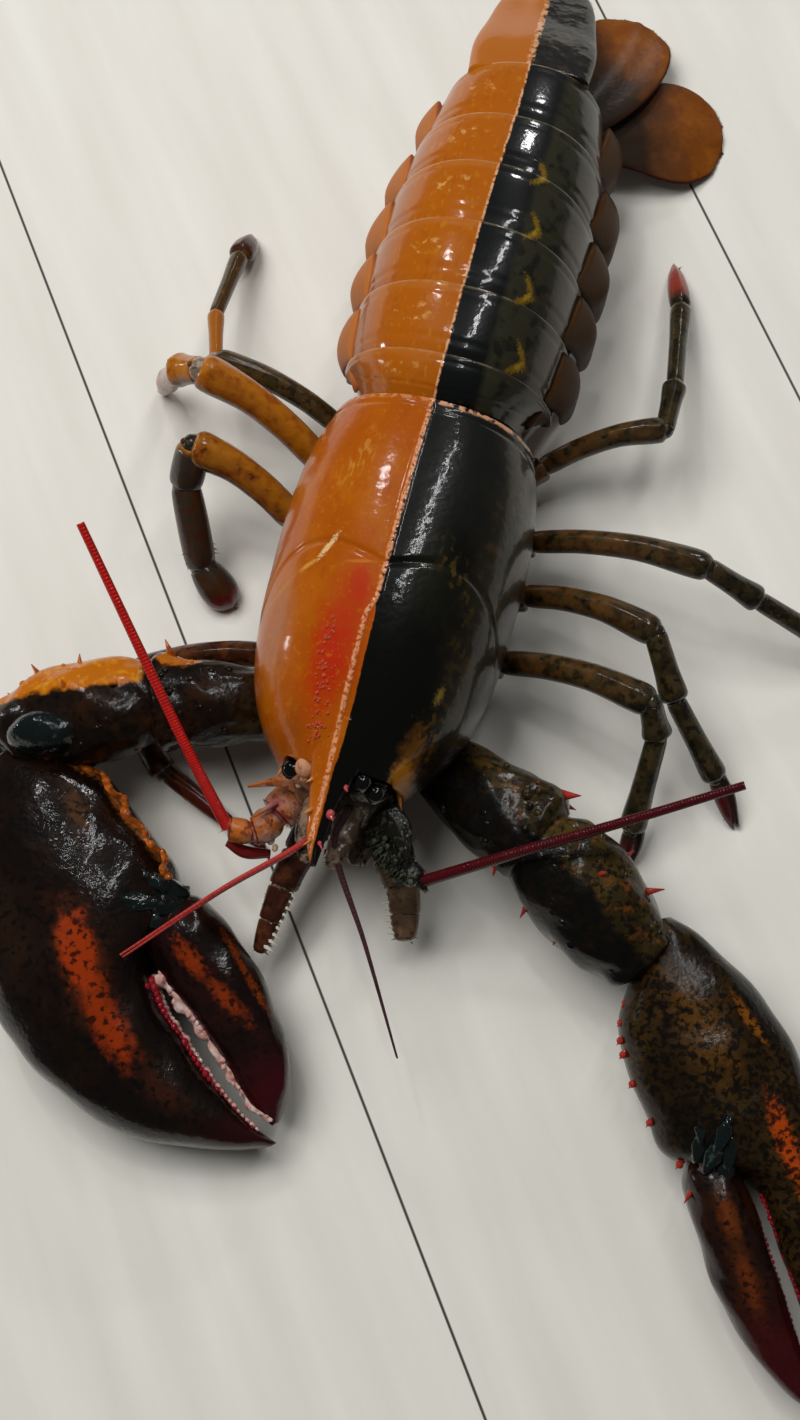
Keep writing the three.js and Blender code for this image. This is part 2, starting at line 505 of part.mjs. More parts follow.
for (const arm of ARMS) {
  const merusShape = { sides: 14, power: ARM_POWER };
  const merusRoom = limb(arm.merus, { ...merusShape, grow: SKIN_GAP });
  const grownSpine = (grow) => ([root, tip, radius]) => spine(root, tip, radius + grow);
  const onMerus = arm.armSpines.slice(0, 2);
  const onCarpus = arm.armSpines.slice(2);
  const merus = fuse(limb(arm.merus, merusShape), onMerus.map(grownSpine(0)));
  const under = legRooms[`${arm.word}_2`];
  const merusClear = clear(merus, sternumRoom, mouthRoom, carapaceRoom, under);
  addPart(`cheliped_${arm.word}_merus`, merusClear, arm.color);
  const carpus = fuse(limb(arm.carpus, merusShape), onCarpus.map(grownSpine(0)));
  const meeting = [merusRoom, ...onMerus.map(grownSpine(SKIN_GAP))];
  addPart(`cheliped_${arm.word}_carpus`, clear(carpus, meeting, under), arm.color);
  const carpusRoom = limb(arm.carpus, { ...merusShape, grow: SKIN_GAP });

  // The claw is drawn in its own plane: a runs from wrist to tip, c outward across it
  const start = new THREE.Vector3(...arm.wrist, 0);
  const along = new THREE.Vector3(...arm.tip, 0).sub(start).normalize();
  const out = new THREE.Vector3(-along.y, along.x, 0).multiplyScalar(arm.outward);
  const placeOnClaw = (a, c, z) => start.clone().addScaledVector(along, a).addScaledVector(out, c).setZ(z);
  const onClaw = (a, c, z) => placeOnClaw(a, c, z).toArray();
  const clawLoft = (rows, sides, grow = 0) => {
    const at = profile(rows);
    return loft(sides, rows.length - 1, (t, angle) => {
      const row = rows[Math.round(t * (rows.length - 1))];
      const [inside, outside, half, z] = at(row[0]);
      const middle = (inside + outside) / 2;
      const end = t === 0 ? -grow : t === 1 ? grow : 0;
      const c = middle + ((outside - inside) / 2 + grow) * bow(Math.cos(angle), CLAW_POWER);
      return placeOnClaw(row[0] + end, c, z + (half + grow) * bow(Math.sin(angle), CLAW_POWER));
    });
  };
  const palmAt = profile(arm.palm);
  const fingerAt = profile(arm.finger);
  const palmTeeth = [];
  const fingerTeeth = [];
  const { from, to, count, radius, round } = arm.teeth;
  for (let i = 0; i < count; i += 1) {
    const a = from + ((to - from) * i) / (count - 1);
    const size = radius * (1 - (0.45 * i) / count) * (i % 3 === 1 ? 1.15 : 0.9);
    const [palmEdge, , , z] = palmAt(a);
    const fingerEdge = fingerAt(a)[1];
    if (round) {
      palmTeeth.push(knob(onClaw(a, palmEdge - 0.1, z), size));
      fingerTeeth.push(knob(onClaw(a + 1.6, fingerEdge - 0.5, z - 1), size * 0.75));
    } else {
      palmTeeth.push(spine(onClaw(a, palmEdge, z), onClaw(a, palmEdge - 1, z), size, 4));
      fingerTeeth.push(spine(onClaw(a, fingerEdge, z), onClaw(a, fingerEdge + 0.6, z), size, 4));
    }
  }
  const edge = arm.edgeSpines;
  for (let i = 0; i < edge.count; i += 1) {
    const a = edge.from + ((edge.to - edge.from) * i) / (edge.count - 1);
    const [inside, , , z] = palmAt(a);
    const root = onClaw(a, inside + 1.6, z + edge.lift);
    const tip = onClaw(a + edge.length, inside - edge.length, z + edge.lift);
    palmTeeth.push(spine(root, tip, edge.radius));
  }
  const palm = fuse(clawLoft(arm.palm, 18), palmTeeth);
  const fingerRoom = clawLoft(arm.finger, 14, SKIN_GAP);
  addPart(`cheliped_${arm.word}_claw`, clear(palm, carpusRoom, fingerRoom), arm.color);
  addPart(`cheliped_${arm.word}_finger`, fuse(clawLoft(arm.finger, 14), fingerTeeth), arm.color);
}

// Tail: places in it are given by s, which counts its joints, by how far across, and by how far
// below the line of the back. Rows of [joint, x, y, height of the back, half width, depth to belly].
const tailForm = profile([
  [0, 0, 41.8, 50.4, 21, 28],
  [1, 0, 51.2, 52.4, 24.6, 29],
  [2, 0, 68.4, 52.6, 25.6, 29],
  [3, 0, 85.8, 51.4, 25.6, 28.5],
  [4, 0, 103.7, 47.9, 25.2, 27],
  [5, 0, 120.3, 42.9, 24, 24],
  [6, -0.6, 139.4, 36.6, 20, 18],
  [7, -1.6, 156, 28, 16, 8],
]);

function tailFrame(s) {
  const [x, y, z, wide, depth] = tailForm(s);
  const before = new THREE.Vector3(...tailForm(s - 0.02));
  const ahead = new THREE.Vector3(...tailForm(s + 0.02)).sub(before).normalize();
  const across = new THREE.Vector3().crossVectors(ahead, UP).normalize();
  const below = new THREE.Vector3().crossVectors(ahead, across);
  return { top: new THREE.Vector3(x, y, z), ahead, across, below, wide, depth };
}

function tailPoint(s, x, down) {
  const { top, across, below } = tailFrame(s);
  return top.addScaledVector(across, x).addScaledVector(below, down);
}

// Ring places within one tail segment: [share of its length, how far it swells]
const RING_SWELL = [[0, -1.1], [0.3, 0], [0.8, 0.4], [1, 0.4]];
// Side lobes of each segment: [how far below the back they reach, how wide apart their tips are]
const LOBES = [[30, 22.4], [41, 27.4], [41.5, 28.2], [39.5, 28.2], [35, 27.2], [28, 24]];

// Each side lobe hangs from the flank, leans back over the next one and ends in a rounded point
function tailLobe(number, side, grow = 0) {
  const [reach, spread] = LOBES[number];
  const { wide, depth } = tailFrame(number + 0.5);
  const top = depth * 0.6;
  const middle = wide - 1.6;
  return loft(8, 4, (t, angle) => {
    const narrow = Math.sqrt(Math.max(1 - t ** 2.6, 0.02));
    const free = Math.min(t * 2, 1);
    const s = number + 0.53 + LOBE_LEAN * free + (LOBE_SPAN * narrow + grow * 0.05) * Math.cos(angle);
    const flare = LOBE_FLARE * Math.cos(angle) * narrow + LOBE_BULGE * free * Math.sin(angle) ** 2;
    const half = LOBE_HALF + grow + LOBE_ROOT * (1 - free);
    const x = middle + (spread - middle) * free + flare + half * Math.sin(angle);
    const down = top + (reach - top) * t + (t === 1 ? grow : 0);
    return tailPoint(s, side * x, down);
  });
}

// Each swimmeret hangs from the belly, flat and pointing back
function swimmeret(number, side) {
  const { wide, depth } = tailFrame(number + 0.5);
  return loft(6, 3, (t, angle) => {
    const round = Math.sqrt(Math.max(1 - (2 * t - 1) ** 4, 0.03));
    const s = number + 0.36 + 0.3 * t + 0.12 * round * Math.cos(angle);
    const x = wide * (0.5 + 0.1 * t) + SWIMMERET_HALF * round * Math.sin(angle);
    return tailPoint(s, side * x, depth - 1 + SWIMMERET_DROP * t);
  });
}

// Each segment is an arch over the belly, its lobes at the flanks
for (let number = 0; number < LOBES.length; number += 1) {
  const inset = GAP / 2 / (tailForm(number + 1)[1] - tailForm(number)[1]);
  const steps = RING_SWELL.length - 1;
  const arch = loft(24, steps, (t, angle) => {
    const [share, swell] = RING_SWELL[Math.round(t * steps)];
    const s = number + inset + share * (1 - 2 * inset);
    const { wide, depth } = tailFrame(s);
    const above = (depth + swell) * bow(Math.sin(angle), TAIL_POWER);
    const below = BELLY_SAG * Math.sin(angle);
    const x = (wide + swell) * bow(Math.cos(angle), TAIL_POWER);
    return tailPoint(s, x, depth - (angle > Math.PI ? below : above));
  });
  const pieces = SIDES.map(([side]) => tailLobe(number, side));
  if (number > 0 && number < 5) pieces.push(...SIDES.map(([side]) => swimmeret(number, side)));
  const neighbours = number === 0 ? [carapaceRoom] : SIDES.map(([side]) => tailLobe(number - 1, side, GAP));
  if (number < 2) neighbours.push(...legRooms.left_5, ...legRooms.right_5);
  addPart(`abdomen_${number + 1}`, clear(fuse(arch, pieces), neighbours), ORANGE, 0.15);
}

// Telson: the middle plate of the tail fan, domed, with a ridge along it
const telsonFrame = tailFrame(6);
const telsonStart = telsonFrame.top.clone().addScaledVector(telsonFrame.ahead, GAP);
telsonStart.addScaledVector(telsonFrame.below, 4);
const telsonRows = [
  [...telsonStart.toArray(), 15, 3.6],
  [-1.4, 150, 27.6, 15.6, 3.2],
  [-2, 161, 22.2, 14, 2.6],
  [-2.6, 171, 17.8, 12.2, 2],
  [-3, 177.6, 15, 9, 1.5],
  [-3.1, 180, 14, 3.4, 1],
];
const telsonShape = { sides: 12, steps: 2, power: 2.6, ridge: 0.6 };
addPart('telson', limb(telsonRows, telsonShape), ORANGE, 0.15);
const telsonRoom = limb(telsonRows, { ...telsonShape, grow: SKIN_GAP });

// Side blades of the tail fan: spread to the left, folded under the telson on the right
const BLADES = [
  {
    name: 'uropod_left_inner',
    color: RUST,
    rows: [[9.4, 138, 15, 4, 2.2], [13, 147, 13.4, 9, 1.5], [15.8, 157, 11, 12, 1.3],
      [18, 167, 8.8, 13, 1.1], [19.8, 175.6, 7, 10.6, 0.9], [20.6, 179.4, 6.2, 4, 0.6]],
  },
  {
    name: 'uropod_left_outer',
    color: RUST,
    rows: [[12.6, 138, 12, 3.6, 2], [19, 142.6, 9.6, 9, 1.4], [27.4, 147.6, 6.6, 13.4, 1.3],
      [37, 151.4, 3.8, 15, 1.1], [45, 153.6, 1.2, 11, 0.9], [48.6, 154.4, 0.5, 4, 0.7]],
  },
  {
    name: 'uropod_right_inner',
    color: ORANGE,
    rows: [[-8.6, 138, 14, 4, 2.2], [-8.4, 147, 14, 6.4, 1.5], [-8, 158, 12, 7.6, 1.3],
      [-8.4, 168, 9, 8, 1.1], [-9.4, 178, 6.2, 7, 0.9], [-10, 182, 5, 2.6, 0.6]],
  },
  {
    name: 'uropod_right_outer',
    color: ORANGE,
    rows: [[-10.6, 138, 9.6, 3.6, 1.8], [-9.6, 147, 9, 6.4, 1.4], [-9, 158, 6.6, 7.6, 1.2],
      [-9.6, 169, 3.6, 8, 1.1], [-11, 180, 1, 6.6, 0.9], [-11.6, 184, 0.5, 2.4, 0.7]],
  },
];
const bladeShape = { sides: 10, steps: 2, power: 2.4, ridge: 0.5 };
const tailEndRoom = [];
for (const { name, color, rows } of BLADES) {
  addPart(name, clear(limb(rows, bladeShape), telsonRoom, tailEndRoom), color, 0.2);
  tailEndRoom.push(limb(rows, { ...bladeShape, grow: SKIN_GAP }));
}

// The origin lies on the floor, below the middle of the whole animal
const bounds = new THREE.Box3().setFromObject(lobster);
const middle = bounds.getCenter(new THREE.Vector3());
lobster.position.set(-middle.x, -middle.y, -bounds.min.z);
lobster.updateMatrixWorld(true);

export default lobster;
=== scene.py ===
import math

import bmesh
import bpy
import numpy as np
from mathutils import Matrix, Vector


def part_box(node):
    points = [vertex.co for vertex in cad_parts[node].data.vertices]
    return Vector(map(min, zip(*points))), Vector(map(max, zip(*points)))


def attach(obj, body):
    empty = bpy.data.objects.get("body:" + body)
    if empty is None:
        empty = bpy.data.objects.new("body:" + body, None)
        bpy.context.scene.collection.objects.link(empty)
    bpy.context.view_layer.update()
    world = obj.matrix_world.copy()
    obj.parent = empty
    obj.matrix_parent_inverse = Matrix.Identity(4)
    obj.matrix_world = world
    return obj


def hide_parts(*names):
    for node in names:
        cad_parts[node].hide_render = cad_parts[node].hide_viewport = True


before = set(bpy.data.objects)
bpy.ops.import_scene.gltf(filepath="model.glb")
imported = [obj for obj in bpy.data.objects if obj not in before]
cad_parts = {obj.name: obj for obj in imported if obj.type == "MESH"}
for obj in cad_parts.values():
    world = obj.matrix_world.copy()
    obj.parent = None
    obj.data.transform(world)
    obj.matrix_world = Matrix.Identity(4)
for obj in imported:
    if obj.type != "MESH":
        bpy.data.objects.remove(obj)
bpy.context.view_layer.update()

# The studio: a pale floor under soft lights, and a camera that looks down on the lobster from
# in front of its head, as a visitor leaning over the model would. The strip light behind the
# tail draws the long wet glints along the back.
MM = 0.001
ROSTRUM_TIP = -65.6
SENSOR_WIDTH = 36
FOCAL_LENGTH = 46.84
CAMERA_PLACE = (51.18, -132.61, 426.39)
CAMERA_RIGHT = (0.96832, 0.24693, -0.03720)
CAMERA_AHEAD = (-0.10365, 0.26189, -0.95952)
# One seam between the floor boards and the way it runs, then the width of a board, all in mm
SEAM_PLACE = (-10.4, -66.5, 0)
SEAM_TURN = -0.941
BOARD_WIDTH = 165
shell_low, shell_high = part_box("carapace")
# The neck groove crosses the midline here; every size below is in mm from this point on the floor
GROOVE = np.array([(shell_low[0] + shell_high[0]) / 2, shell_low[1] - ROSTRUM_TIP * MM, 0.0])

scene = bpy.context.scene
scene.view_settings.view_transform = "Standard"
camera_data = bpy.data.cameras.new("visitor_camera")
camera_data.lens = FOCAL_LENGTH
camera_data.sensor_width = SENSOR_WIDTH
camera_data.clip_start = 0.01
camera = bpy.data.objects.new("visitor_camera", camera_data)
right = Vector(CAMERA_RIGHT).normalized()
back = -Vector(CAMERA_AHEAD).normalized()
turn_to_view = Matrix((right, back.cross(right), back)).transposed().to_4x4()
camera.matrix_world = Matrix.Translation(Vector(GROOVE) + Vector(CAMERA_PLACE) * MM) @ turn_to_view
scene.collection.objects.link(camera)
scene.camera = camera


def add_node(tree, kind, values, **settings):
    """Adds a shader node, each of its inputs a plain value or another node's output"""
    node = tree.nodes.new(f"ShaderNode{kind}")
    for word, setting in settings.items():
        setattr(node, word, setting)
    for socket, value in values.items():
        if isinstance(value, bpy.types.NodeSocket):
            tree.links.new(value, node.inputs[socket])
        else:
            node.inputs[socket].default_value = value
    return node.outputs


floor_form = bmesh.new()
bmesh.ops.create_grid(floor_form, x_segments=4, y_segments=4, size=3)
floor_mesh = bpy.data.meshes.new("studio_floor")
floor_form.to_mesh(floor_mesh)
floor_form.free()
floor = bpy.data.objects.new("studio_floor", floor_mesh)
scene.collection.objects.link(floor)
floor_paint = bpy.data.materials.new("pale_boards")
floor_paint.use_nodes = True
floor_tree = floor_paint.node_tree
boards = add_node(floor_tree, "Mapping", {
    "Vector": add_node(floor_tree, "TexCoord", {})["Object"], "Location": GROOVE + np.array(SEAM_PLACE) * MM,
    "Rotation": (0, 0, SEAM_TURN)}, vector_type="TEXTURE")[0]
across_boards = add_node(floor_tree, "SeparateXYZ", {0: boards})["Y"]
# How far the nearest seam is
seam_near = add_node(floor_tree, "Math", {0: across_boards, 1: BOARD_WIDTH * MM / 2}, operation="PINGPONG")[0]
beside_seam = add_node(floor_tree, "MapRange",
                       {"Value": seam_near, "From Min": 0.2 * MM, "From Max": 0.45 * MM})[0]
long_grain = add_node(floor_tree, "Mapping", {"Vector": boards, "Scale": (9, 90, 9)})[0]
grain = add_node(floor_tree, "TexNoise", {"Vector": long_grain, "Scale": 1, "Detail": 6})["Fac"]
wood = add_node(floor_tree, "Mix", {0: grain, 6: (0.68, 0.65, 0.58, 1), 7: (0.89, 0.87, 0.8, 1)},
                data_type="RGBA")[2]
wood_and_seams = add_node(floor_tree, "Mix", {0: beside_seam, 6: (0.06, 0.05, 0.04, 1), 7: wood},
                          data_type="RGBA")[2]
floor_shader = floor_tree.nodes["Principled BSDF"]
floor_tree.links.new(wood_and_seams, floor_shader.inputs["Base Color"])
floor_shader.inputs["Roughness"].default_value = 0.55
floor_mesh.materials.append(floor_paint)

world = bpy.data.worlds.new("soft_room")
world.use_nodes = True
world.node_tree.nodes["Background"].inputs["Color"].default_value = (1, 0.98, 0.95, 1)
world.node_tree.nodes["Background"].inputs["Strength"].default_value = 0.06
scene.world = world
# Name, direction from the lobster, distance, width, length, power, and whether the gloss shows it
STUDIO_LIGHTS = [
    ("ceiling", (-0.5, 0.15, 1), 1.4, 0.9, 0.9, 14.3, False),
    ("strip_behind", (0.17, 0.46, 0.9), 1.2, 0.02, 0.7, 2.2, True),
    ("tail_window", (0.06, 0.88, 0.45), 1.3, 0.12, 0.06, 1.2, True),
    ("low_window", (-0.99, -0.02, 0.17), 1.5, 0.06, 0.1, 0.8, True),
    ("upper_window", (-0.5, 0.62, 1), 1.5, 0.05, 0.14, 1.5, True),
    ("small_window", (-0.16, 0.33, 1), 1.5, 0.03, 0.08, 0.5, True),
]
for name, toward, distance, width, length, power, glossy in STUDIO_LIGHTS:
    lamp_data = bpy.data.lights.new(name, "AREA")
    lamp_data.shape = "RECTANGLE"
    lamp_data.size = width
    lamp_data.size_y = length
    lamp_data.energy = power
    lamp = bpy.data.objects.new(name, lamp_data)
    lamp.visible_glossy = glossy
    toward = Vector(toward).normalized()
    turn_to_lobster = toward.to_track_quat("Z", "Y").to_matrix().to_4x4()
    lamp.matrix_world = Matrix.Translation(toward * distance) @ turn_to_lobster
    scene.collection.objects.link(lamp)


# Carapace: the one big shield over head and chest, thin hard shell that wraps down both flanks
# and runs out in the spined rostrum. Its edges are rolled under. The neck groove crosses it.
def smooth_rows(rows):
    """Smooth values through rows of [place, value, value...]"""
    rows = np.array(rows, float)
    places, values = rows[:, 0], rows[:, 1:]
    chords = np.diff(values, axis=0) / np.diff(places)[:, None]
    slopes = np.vstack([chords[:1], (chords[:-1] + chords[1:]) / 2, chords[-1:]])

    def at(place):
        place = np.clip(place, places[0], places[-1])
        row = np.clip(np.searchsorted(places, place, side="right") - 1, 0, len(places) - 2)
        span = (places[row + 1] - places[row])[..., None]
        p = (place - places[row])[..., None] / span
        ahead = p * p * (3 - 2 * p)
        lead = p * (1 - p) ** 2 * slopes[row] - p * p * (1 - p) * slopes[row + 1]
        return np.moveaxis(values[row] * (1 - ahead) + values[row + 1] * ahead + lead * span, -1, 0)

    return at


def path_through(rows):
    """Smooth values through rows that stand at the places 0, 1, 2 and on"""
    return smooth_rows([[i, *row] for i, row in enumerate(rows)])


def sides_of(at, s):
    """The two directions square to a path at place s, across it and above it"""
    ahead = np.stack(at(s + 0.02)[:3]) - np.stack(at(s - 0.02)[:3])
    ahead /= np.linalg.norm(ahead, axis=0)
    across = np.stack([ahead[1], -ahead[0], 0 * ahead[0]])
    across /= np.maximum(np.linalg.norm(across, axis=0), 1e-6)
    return across, np.cross(across, ahead, axis=0)


def bow(value, power):
    """One coordinate of a rounded box section: power 2 is an ellipse, and more is boxier"""
    return np.sign(value) * np.abs(value) ** (2 / power)


def dress(corners, coat):
    """Gives the faces at these corners one of the piece's finishes, numbered from 0"""
    for face in {face for corner in corners for face in corner.link_faces}:
        face.material_index = coat
        face.smooth = True


def skin(form, around, along, place, coat=0, marks=None):
    """Adds a closed skin: a grid rolled up by place(t, turn), welded along its seam and capped"""
    t, turn = np.meshgrid(np.linspace(0, 1, along + 1), np.linspace(0, 2 * math.pi, around + 1),
                          indexing="ij")
    spots = np.stack(np.broadcast_arrays(*place(t, turn)), axis=-1).astype(float)
    spots[..., 2] = np.maximum(spots[..., 2], 0)
    spots = spots * MM + GROOVE
    layers = {}
    for word, values in (marks or {}).items():
        layer = form.verts.layers.float.get(word) or form.verts.layers.float.new(word)
        layers[word] = (layer, np.broadcast_to(values(t, turn), t.shape))
    grid = bmesh.ops.create_grid(form, x_segments=around, y_segments=along, size=1, calc_uvs=True)["verts"]
    for corner in grid:
        row, column = round((corner.co.y + 1) * along / 2), round((corner.co.x + 1) * around / 2)
        for layer, values in layers.values():
            corner[layer] = values[row, column]
        corner.co = spots[row, column]
    dress(grid, coat)
    bmesh.ops.remove_doubles(form, verts=grid, dist=2e-6)
    edges = {edge for corner in grid if corner.is_valid for edge in corner.link_edges}
    for cap in bmesh.ops.holes_fill(form, edges=[edge for edge in edges if edge.is_boundary])["faces"]:
        cap.material_index = coat
        cap.smooth = True


def thorn(form, root, tip, radius, coat=0, sides=10):
    """Adds a pointed spine from root to tip, both in mm, its root sunk in by its own width"""
    root, tip = Vector(root), Vector(tip)
    ahead = (tip - root).normalized()
    root = root - ahead * radius
    length = (tip - root).length
    place = Matrix.Translation(Vector(GROOVE)) @ Matrix.Scale(MM, 4)
    place = place @ Matrix.Translation((root + tip) / 2) @ ahead.to_track_quat("Z", "Y").to_matrix().to_4x4()
    dress(bmesh.ops.create_cone(form, cap_ends=True, segments=sides, radius1=radius, radius2=radius * 0.06,
                                depth=length, matrix=place, calc_uvs=True)["verts"], coat)


def knob(form, centre, radii, coat=0, fineness=2):
    """Adds a rounded knob, its centre and its three radii in mm"""
    place = Matrix.Translation(Vector(GROOVE) + Vector(centre) * MM) @ Matrix.Diagonal((*radii, 1))
    dress(bmesh.ops.create_icosphere(form, subdivisions=fineness, radius=MM, matrix=place,
                                     calc_uvs=True)["verts"], coat)


def new_form():
    """An empty form with a place for the pattern map"""
    form = bmesh.new()
    form.loops.layers.uv.new("Pattern")
    return form


def settle(form, name, finishes, nodes, slot):
    """Makes the form a piece of the lobster that stands for CAD nodes"""
    bmesh.ops.recalc_face_normals(form, faces=form.faces)
    mesh = bpy.data.meshes.new(name)
    form.to_mesh(mesh)
    form.free()
    for finish in finishes:
        mesh.materials.append(finish)
    piece = bpy.data.objects.new(name, mesh)
    scene.collection.objects.link(piece)
    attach(piece, "root")
    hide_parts(*nodes)


def paint(code):
    """A colour from its six-figure code"""
    parts = [int(code[i:i + 2], 16) / 255 for i in (0, 2, 4)]
    return [c / 12.92 if c <= 0.04045 else ((c + 0.055) / 1.055) ** 2.4 for c in parts] + [1]


class Glaze:
    """One finish of the shell, laid colour over colour from the first, then given relief"""

    def __init__(self, name, first, rough=0.3, coat=0.8, coat_rough=0.08, shine=0.15):
        self.finish = bpy.data.materials.new(name)
        self.finish.use_nodes = True
        self.tree = self.finish.node_tree
        self.shader = self.tree.nodes["Principled BSDF"]
        self.top = paint(first)
        self.relief = {}
        for socket, value in {"Roughness": rough, "Coat Weight": coat, "Coat Roughness": coat_rough,
                              "Specular IOR Level": shine, "Base Color": self.top}.items():
            self.shader.inputs[socket].default_value = value
        self.spot = self.add("Mapping", {"Vector": self.add("TexCoord", {})["Object"], "Location": GROOVE,
                                         "Scale": (MM, MM, MM)}, vector_type="TEXTURE")["Vector"]
        self.x, self.y, self.z = self.add("SeparateXYZ", {0: self.spot})

    def add(self, kind, values, **settings):
        return add_node(self.tree, kind, values, **settings)

    def calc(self, operation, a, b=0.0, c=0.0):
        return self.add("Math", {0: a, 1: b, 2: c}, operation=operation)[0]

    def both(self, first, second):
        """A mask that is 1 where both masks are"""
        return self.calc("MULTIPLY", first, second)

    def mark(self, word):
        """A measure that was written on the skin, such as the distance along a claw"""
        return self.add("Attribute", {}, attribute_name=word)["Fac"]

    def noise(self, size, detail=3.0, stretch=(1, 1, 1)):
        """Clouds about size mm across, from 0 to 1"""
        reach = self.add("Mapping", {"Vector": self.spot, "Scale": stretch})[0]
        return self.add("TexNoise", {"Vector": reach, "Scale": 1 / size, "Detail": detail})["Fac"]

    def cells(self, size):
        """Distance from scattered points about size mm apart"""
        return self.add("TexVoronoi", {"Vector": self.spot, "Scale": 1 / size})["Distance"]

    def ramp(self, value, low, high):
        """0 below low and 1 above high, or the other way round"""
        return self.add("MapRange", {"Value": value, "From Min": min(low, high), "From Max": max(low, high),
                                     "To Min": float(low > high), "To Max": float(low < high)},
                        interpolation_type="SMOOTHSTEP")[0]

    def stir(self, value, size, amount, detail=3.0):
        """A value made uneven by clouds of that size"""
        return self.calc("MULTIPLY_ADD", self.noise(size, detail), 2 * amount,
                         self.calc("SUBTRACT", value, amount))

    def streak(self, start, end, width, across=None, rag=0.35, core=0.55):
        """1 along a line between two points and 0 beyond width, its edge ragged, soft outside the core.
        Points are (x, y) on the lobster, or (along, across) where the skin carries such marks."""
        first, second = across or (self.x, self.y)
        along = Vector(end) - Vector(start)
        reach = self.add("Mapping", {"Vector": self.add("CombineXYZ", {0: first, 1: second})[0],
                                     "Location": (*((Vector(start) + Vector(end)) / 2), 0),
                                     "Rotation": (0, 0, math.atan2(along.y, along.x)),
                                     "Scale": (along.length / 2 + width, width, 1)}, vector_type="TEXTURE")[0]
        length = self.add("VectorMath", {0: reach}, operation="LENGTH")["Value"]
        return self.ramp(self.stir(length, width * 0.5, rag, 5.0), 1.0, core)

    def lay(self, colour, mask, amount=1.0):
        """Lays a colour over what is there, where the mask is 1"""
        mask = mask if amount == 1.0 else self.calc("MULTIPLY", mask, amount)
        self.top = self.add("Mix", {0: mask, 6: self.top, 7: paint(colour)}, data_type="RGBA")[2]
        self.tree.links.new(self.top, self.shader.inputs["Base Color"])
        return self

    def cloud(self, colour, size, detail, low, high, amount=1.0, stretch=(1, 1, 1), within=None):
        """Lays a colour in clouds about size mm across, from none at noise low to all of it at high"""
        mask = self.ramp(self.noise(size, detail, stretch), low, high)
        return self.lay(colour, self.both(within, mask) if within else mask, amount)

    def raise_by(self, height, depth):
        """Adds relief, depth in mm"""
        normal = self.add("Bump", {"Height": height, "Distance": depth * MM, **self.relief})[0]
        self.relief = {"Normal": normal}
        for socket in ("Normal", "Coat Normal"):
            self.tree.links.new(normal, self.shader.inputs[socket])
        return self


CARAPACE_FRONT, CARAPACE_REAR, CARAPACE_MIDDLE = -44, 41.5, 28
carapace_form = smooth_rows([
    [-44, 14.4, 45, 22], [-36, 20.6, 48.6, 18.6], [-26, 25.2, 51.8, 16.2], [-13, 27.6, 54.2, 15.2],
    [0, 28.3, 55, 15], [18, 28.4, 54.6, 15], [30, 27, 53.4, 15.6], [37, 25.2, 52.2, 16.6],
    [41.5, 23.6, 51.4, 18.4]])
EYES = [("left", (8.8, -44.2, 38.6)), ("right", (-10.2, -45.4, 38.6))]
ORBIT = 3.3
RED_GRAINS = 80
# How far the keel runs beside the midline ahead of the neck groove
RIDGE_SHIFT = -1.5
# Rings from the rolled front edge to the rolled rear edge: place along the shell, and how far in
ring_places = np.concatenate([[-36, -42.6, -43.8, -44, -43.8], np.linspace(-43.2, 41, 170),
                              [41.3, 41.5, 41.3, 40, 34]])
ring_insets = np.concatenate([[2.4, 1.6, 0.8, 0.3, 0.05], np.zeros(170), [0.05, 0.4, 0.8, 1.3, 1.9]])


def carapace_place(t, turn):
    # The skin is finest along the midline, where the beaded ridge runs
    from_top = (turn - math.pi / 2) / (math.pi / 2)
    turn = np.where(turn <= math.pi, math.pi / 2 * (1 + 0.35 * from_top + 0.65 * from_top ** 3), turn)
    ring = np.interp(t, np.linspace(0, 1, len(ring_places)), ring_places)
    inset = np.interp(t, np.linspace(0, 1, len(ring_places)), ring_insets)
    upper = np.sin(turn) >= 0
    lean = np.where(turn > math.pi, math.pi / 2, np.minimum(np.abs(math.pi / 2 - turn), math.pi / 2))
    share = np.clip(np.sin(np.pi * (ring - CARAPACE_FRONT) / (CARAPACE_REAR - CARAPACE_FRONT)), 0, 1)
    y = ring + share * (4 * np.sin(2.6 * lean) - 14 * (lean / (math.pi / 2)) ** 2.5)
    wide, top, low = carapace_form(y)
    reach = np.where(upper, top - CARAPACE_MIDDLE, CARAPACE_MIDDLE - low)
    power = np.where(upper, 2.15, 2.7)
    # The neck groove, the faint groove behind the rolled edge, and the keel
    groove = np.where(upper, 0.55 * np.exp(-(ring / 0.7) ** 2) * np.clip(2 * np.sin(turn), 0, 1), 0)
    groove = groove + 0.35 * np.exp(-((ring - 38.6) / 0.5) ** 2)
    x = (wide - groove - inset) * bow(np.cos(turn), power)
    ahead = np.clip((-7 - ring) / 6, 0, 1)
    beads = 0.4 + 0.14 * np.sin(4.7 * ring) + 0.08 * np.sin(7.9 * ring)
    keel = beads * np.exp(-((x - RIDGE_SHIFT * ahead) / 0.55) ** 2) * upper
    z = CARAPACE_MIDDLE + (reach - groove - inset) * bow(np.sin(turn), power) + keel
    # The orbits are scooped out of the front edge
    for _, eye in EYES:
        away = np.stack([x - eye[0], y - eye[1], z - eye[2]])
        far = np.sqrt((away ** 2).sum(axis=0))
        push = np.maximum(ORBIT / np.maximum(far, 0.5), 1)
        x, y, z = np.array(eye)[:, None, None] + away * push
    return x, y, z


split_shell = Glaze("carapace_shell", "a24d02", rough=0.32, coat=0.6)
g = split_shell
ahead = g.ramp(g.y, -7, -13)
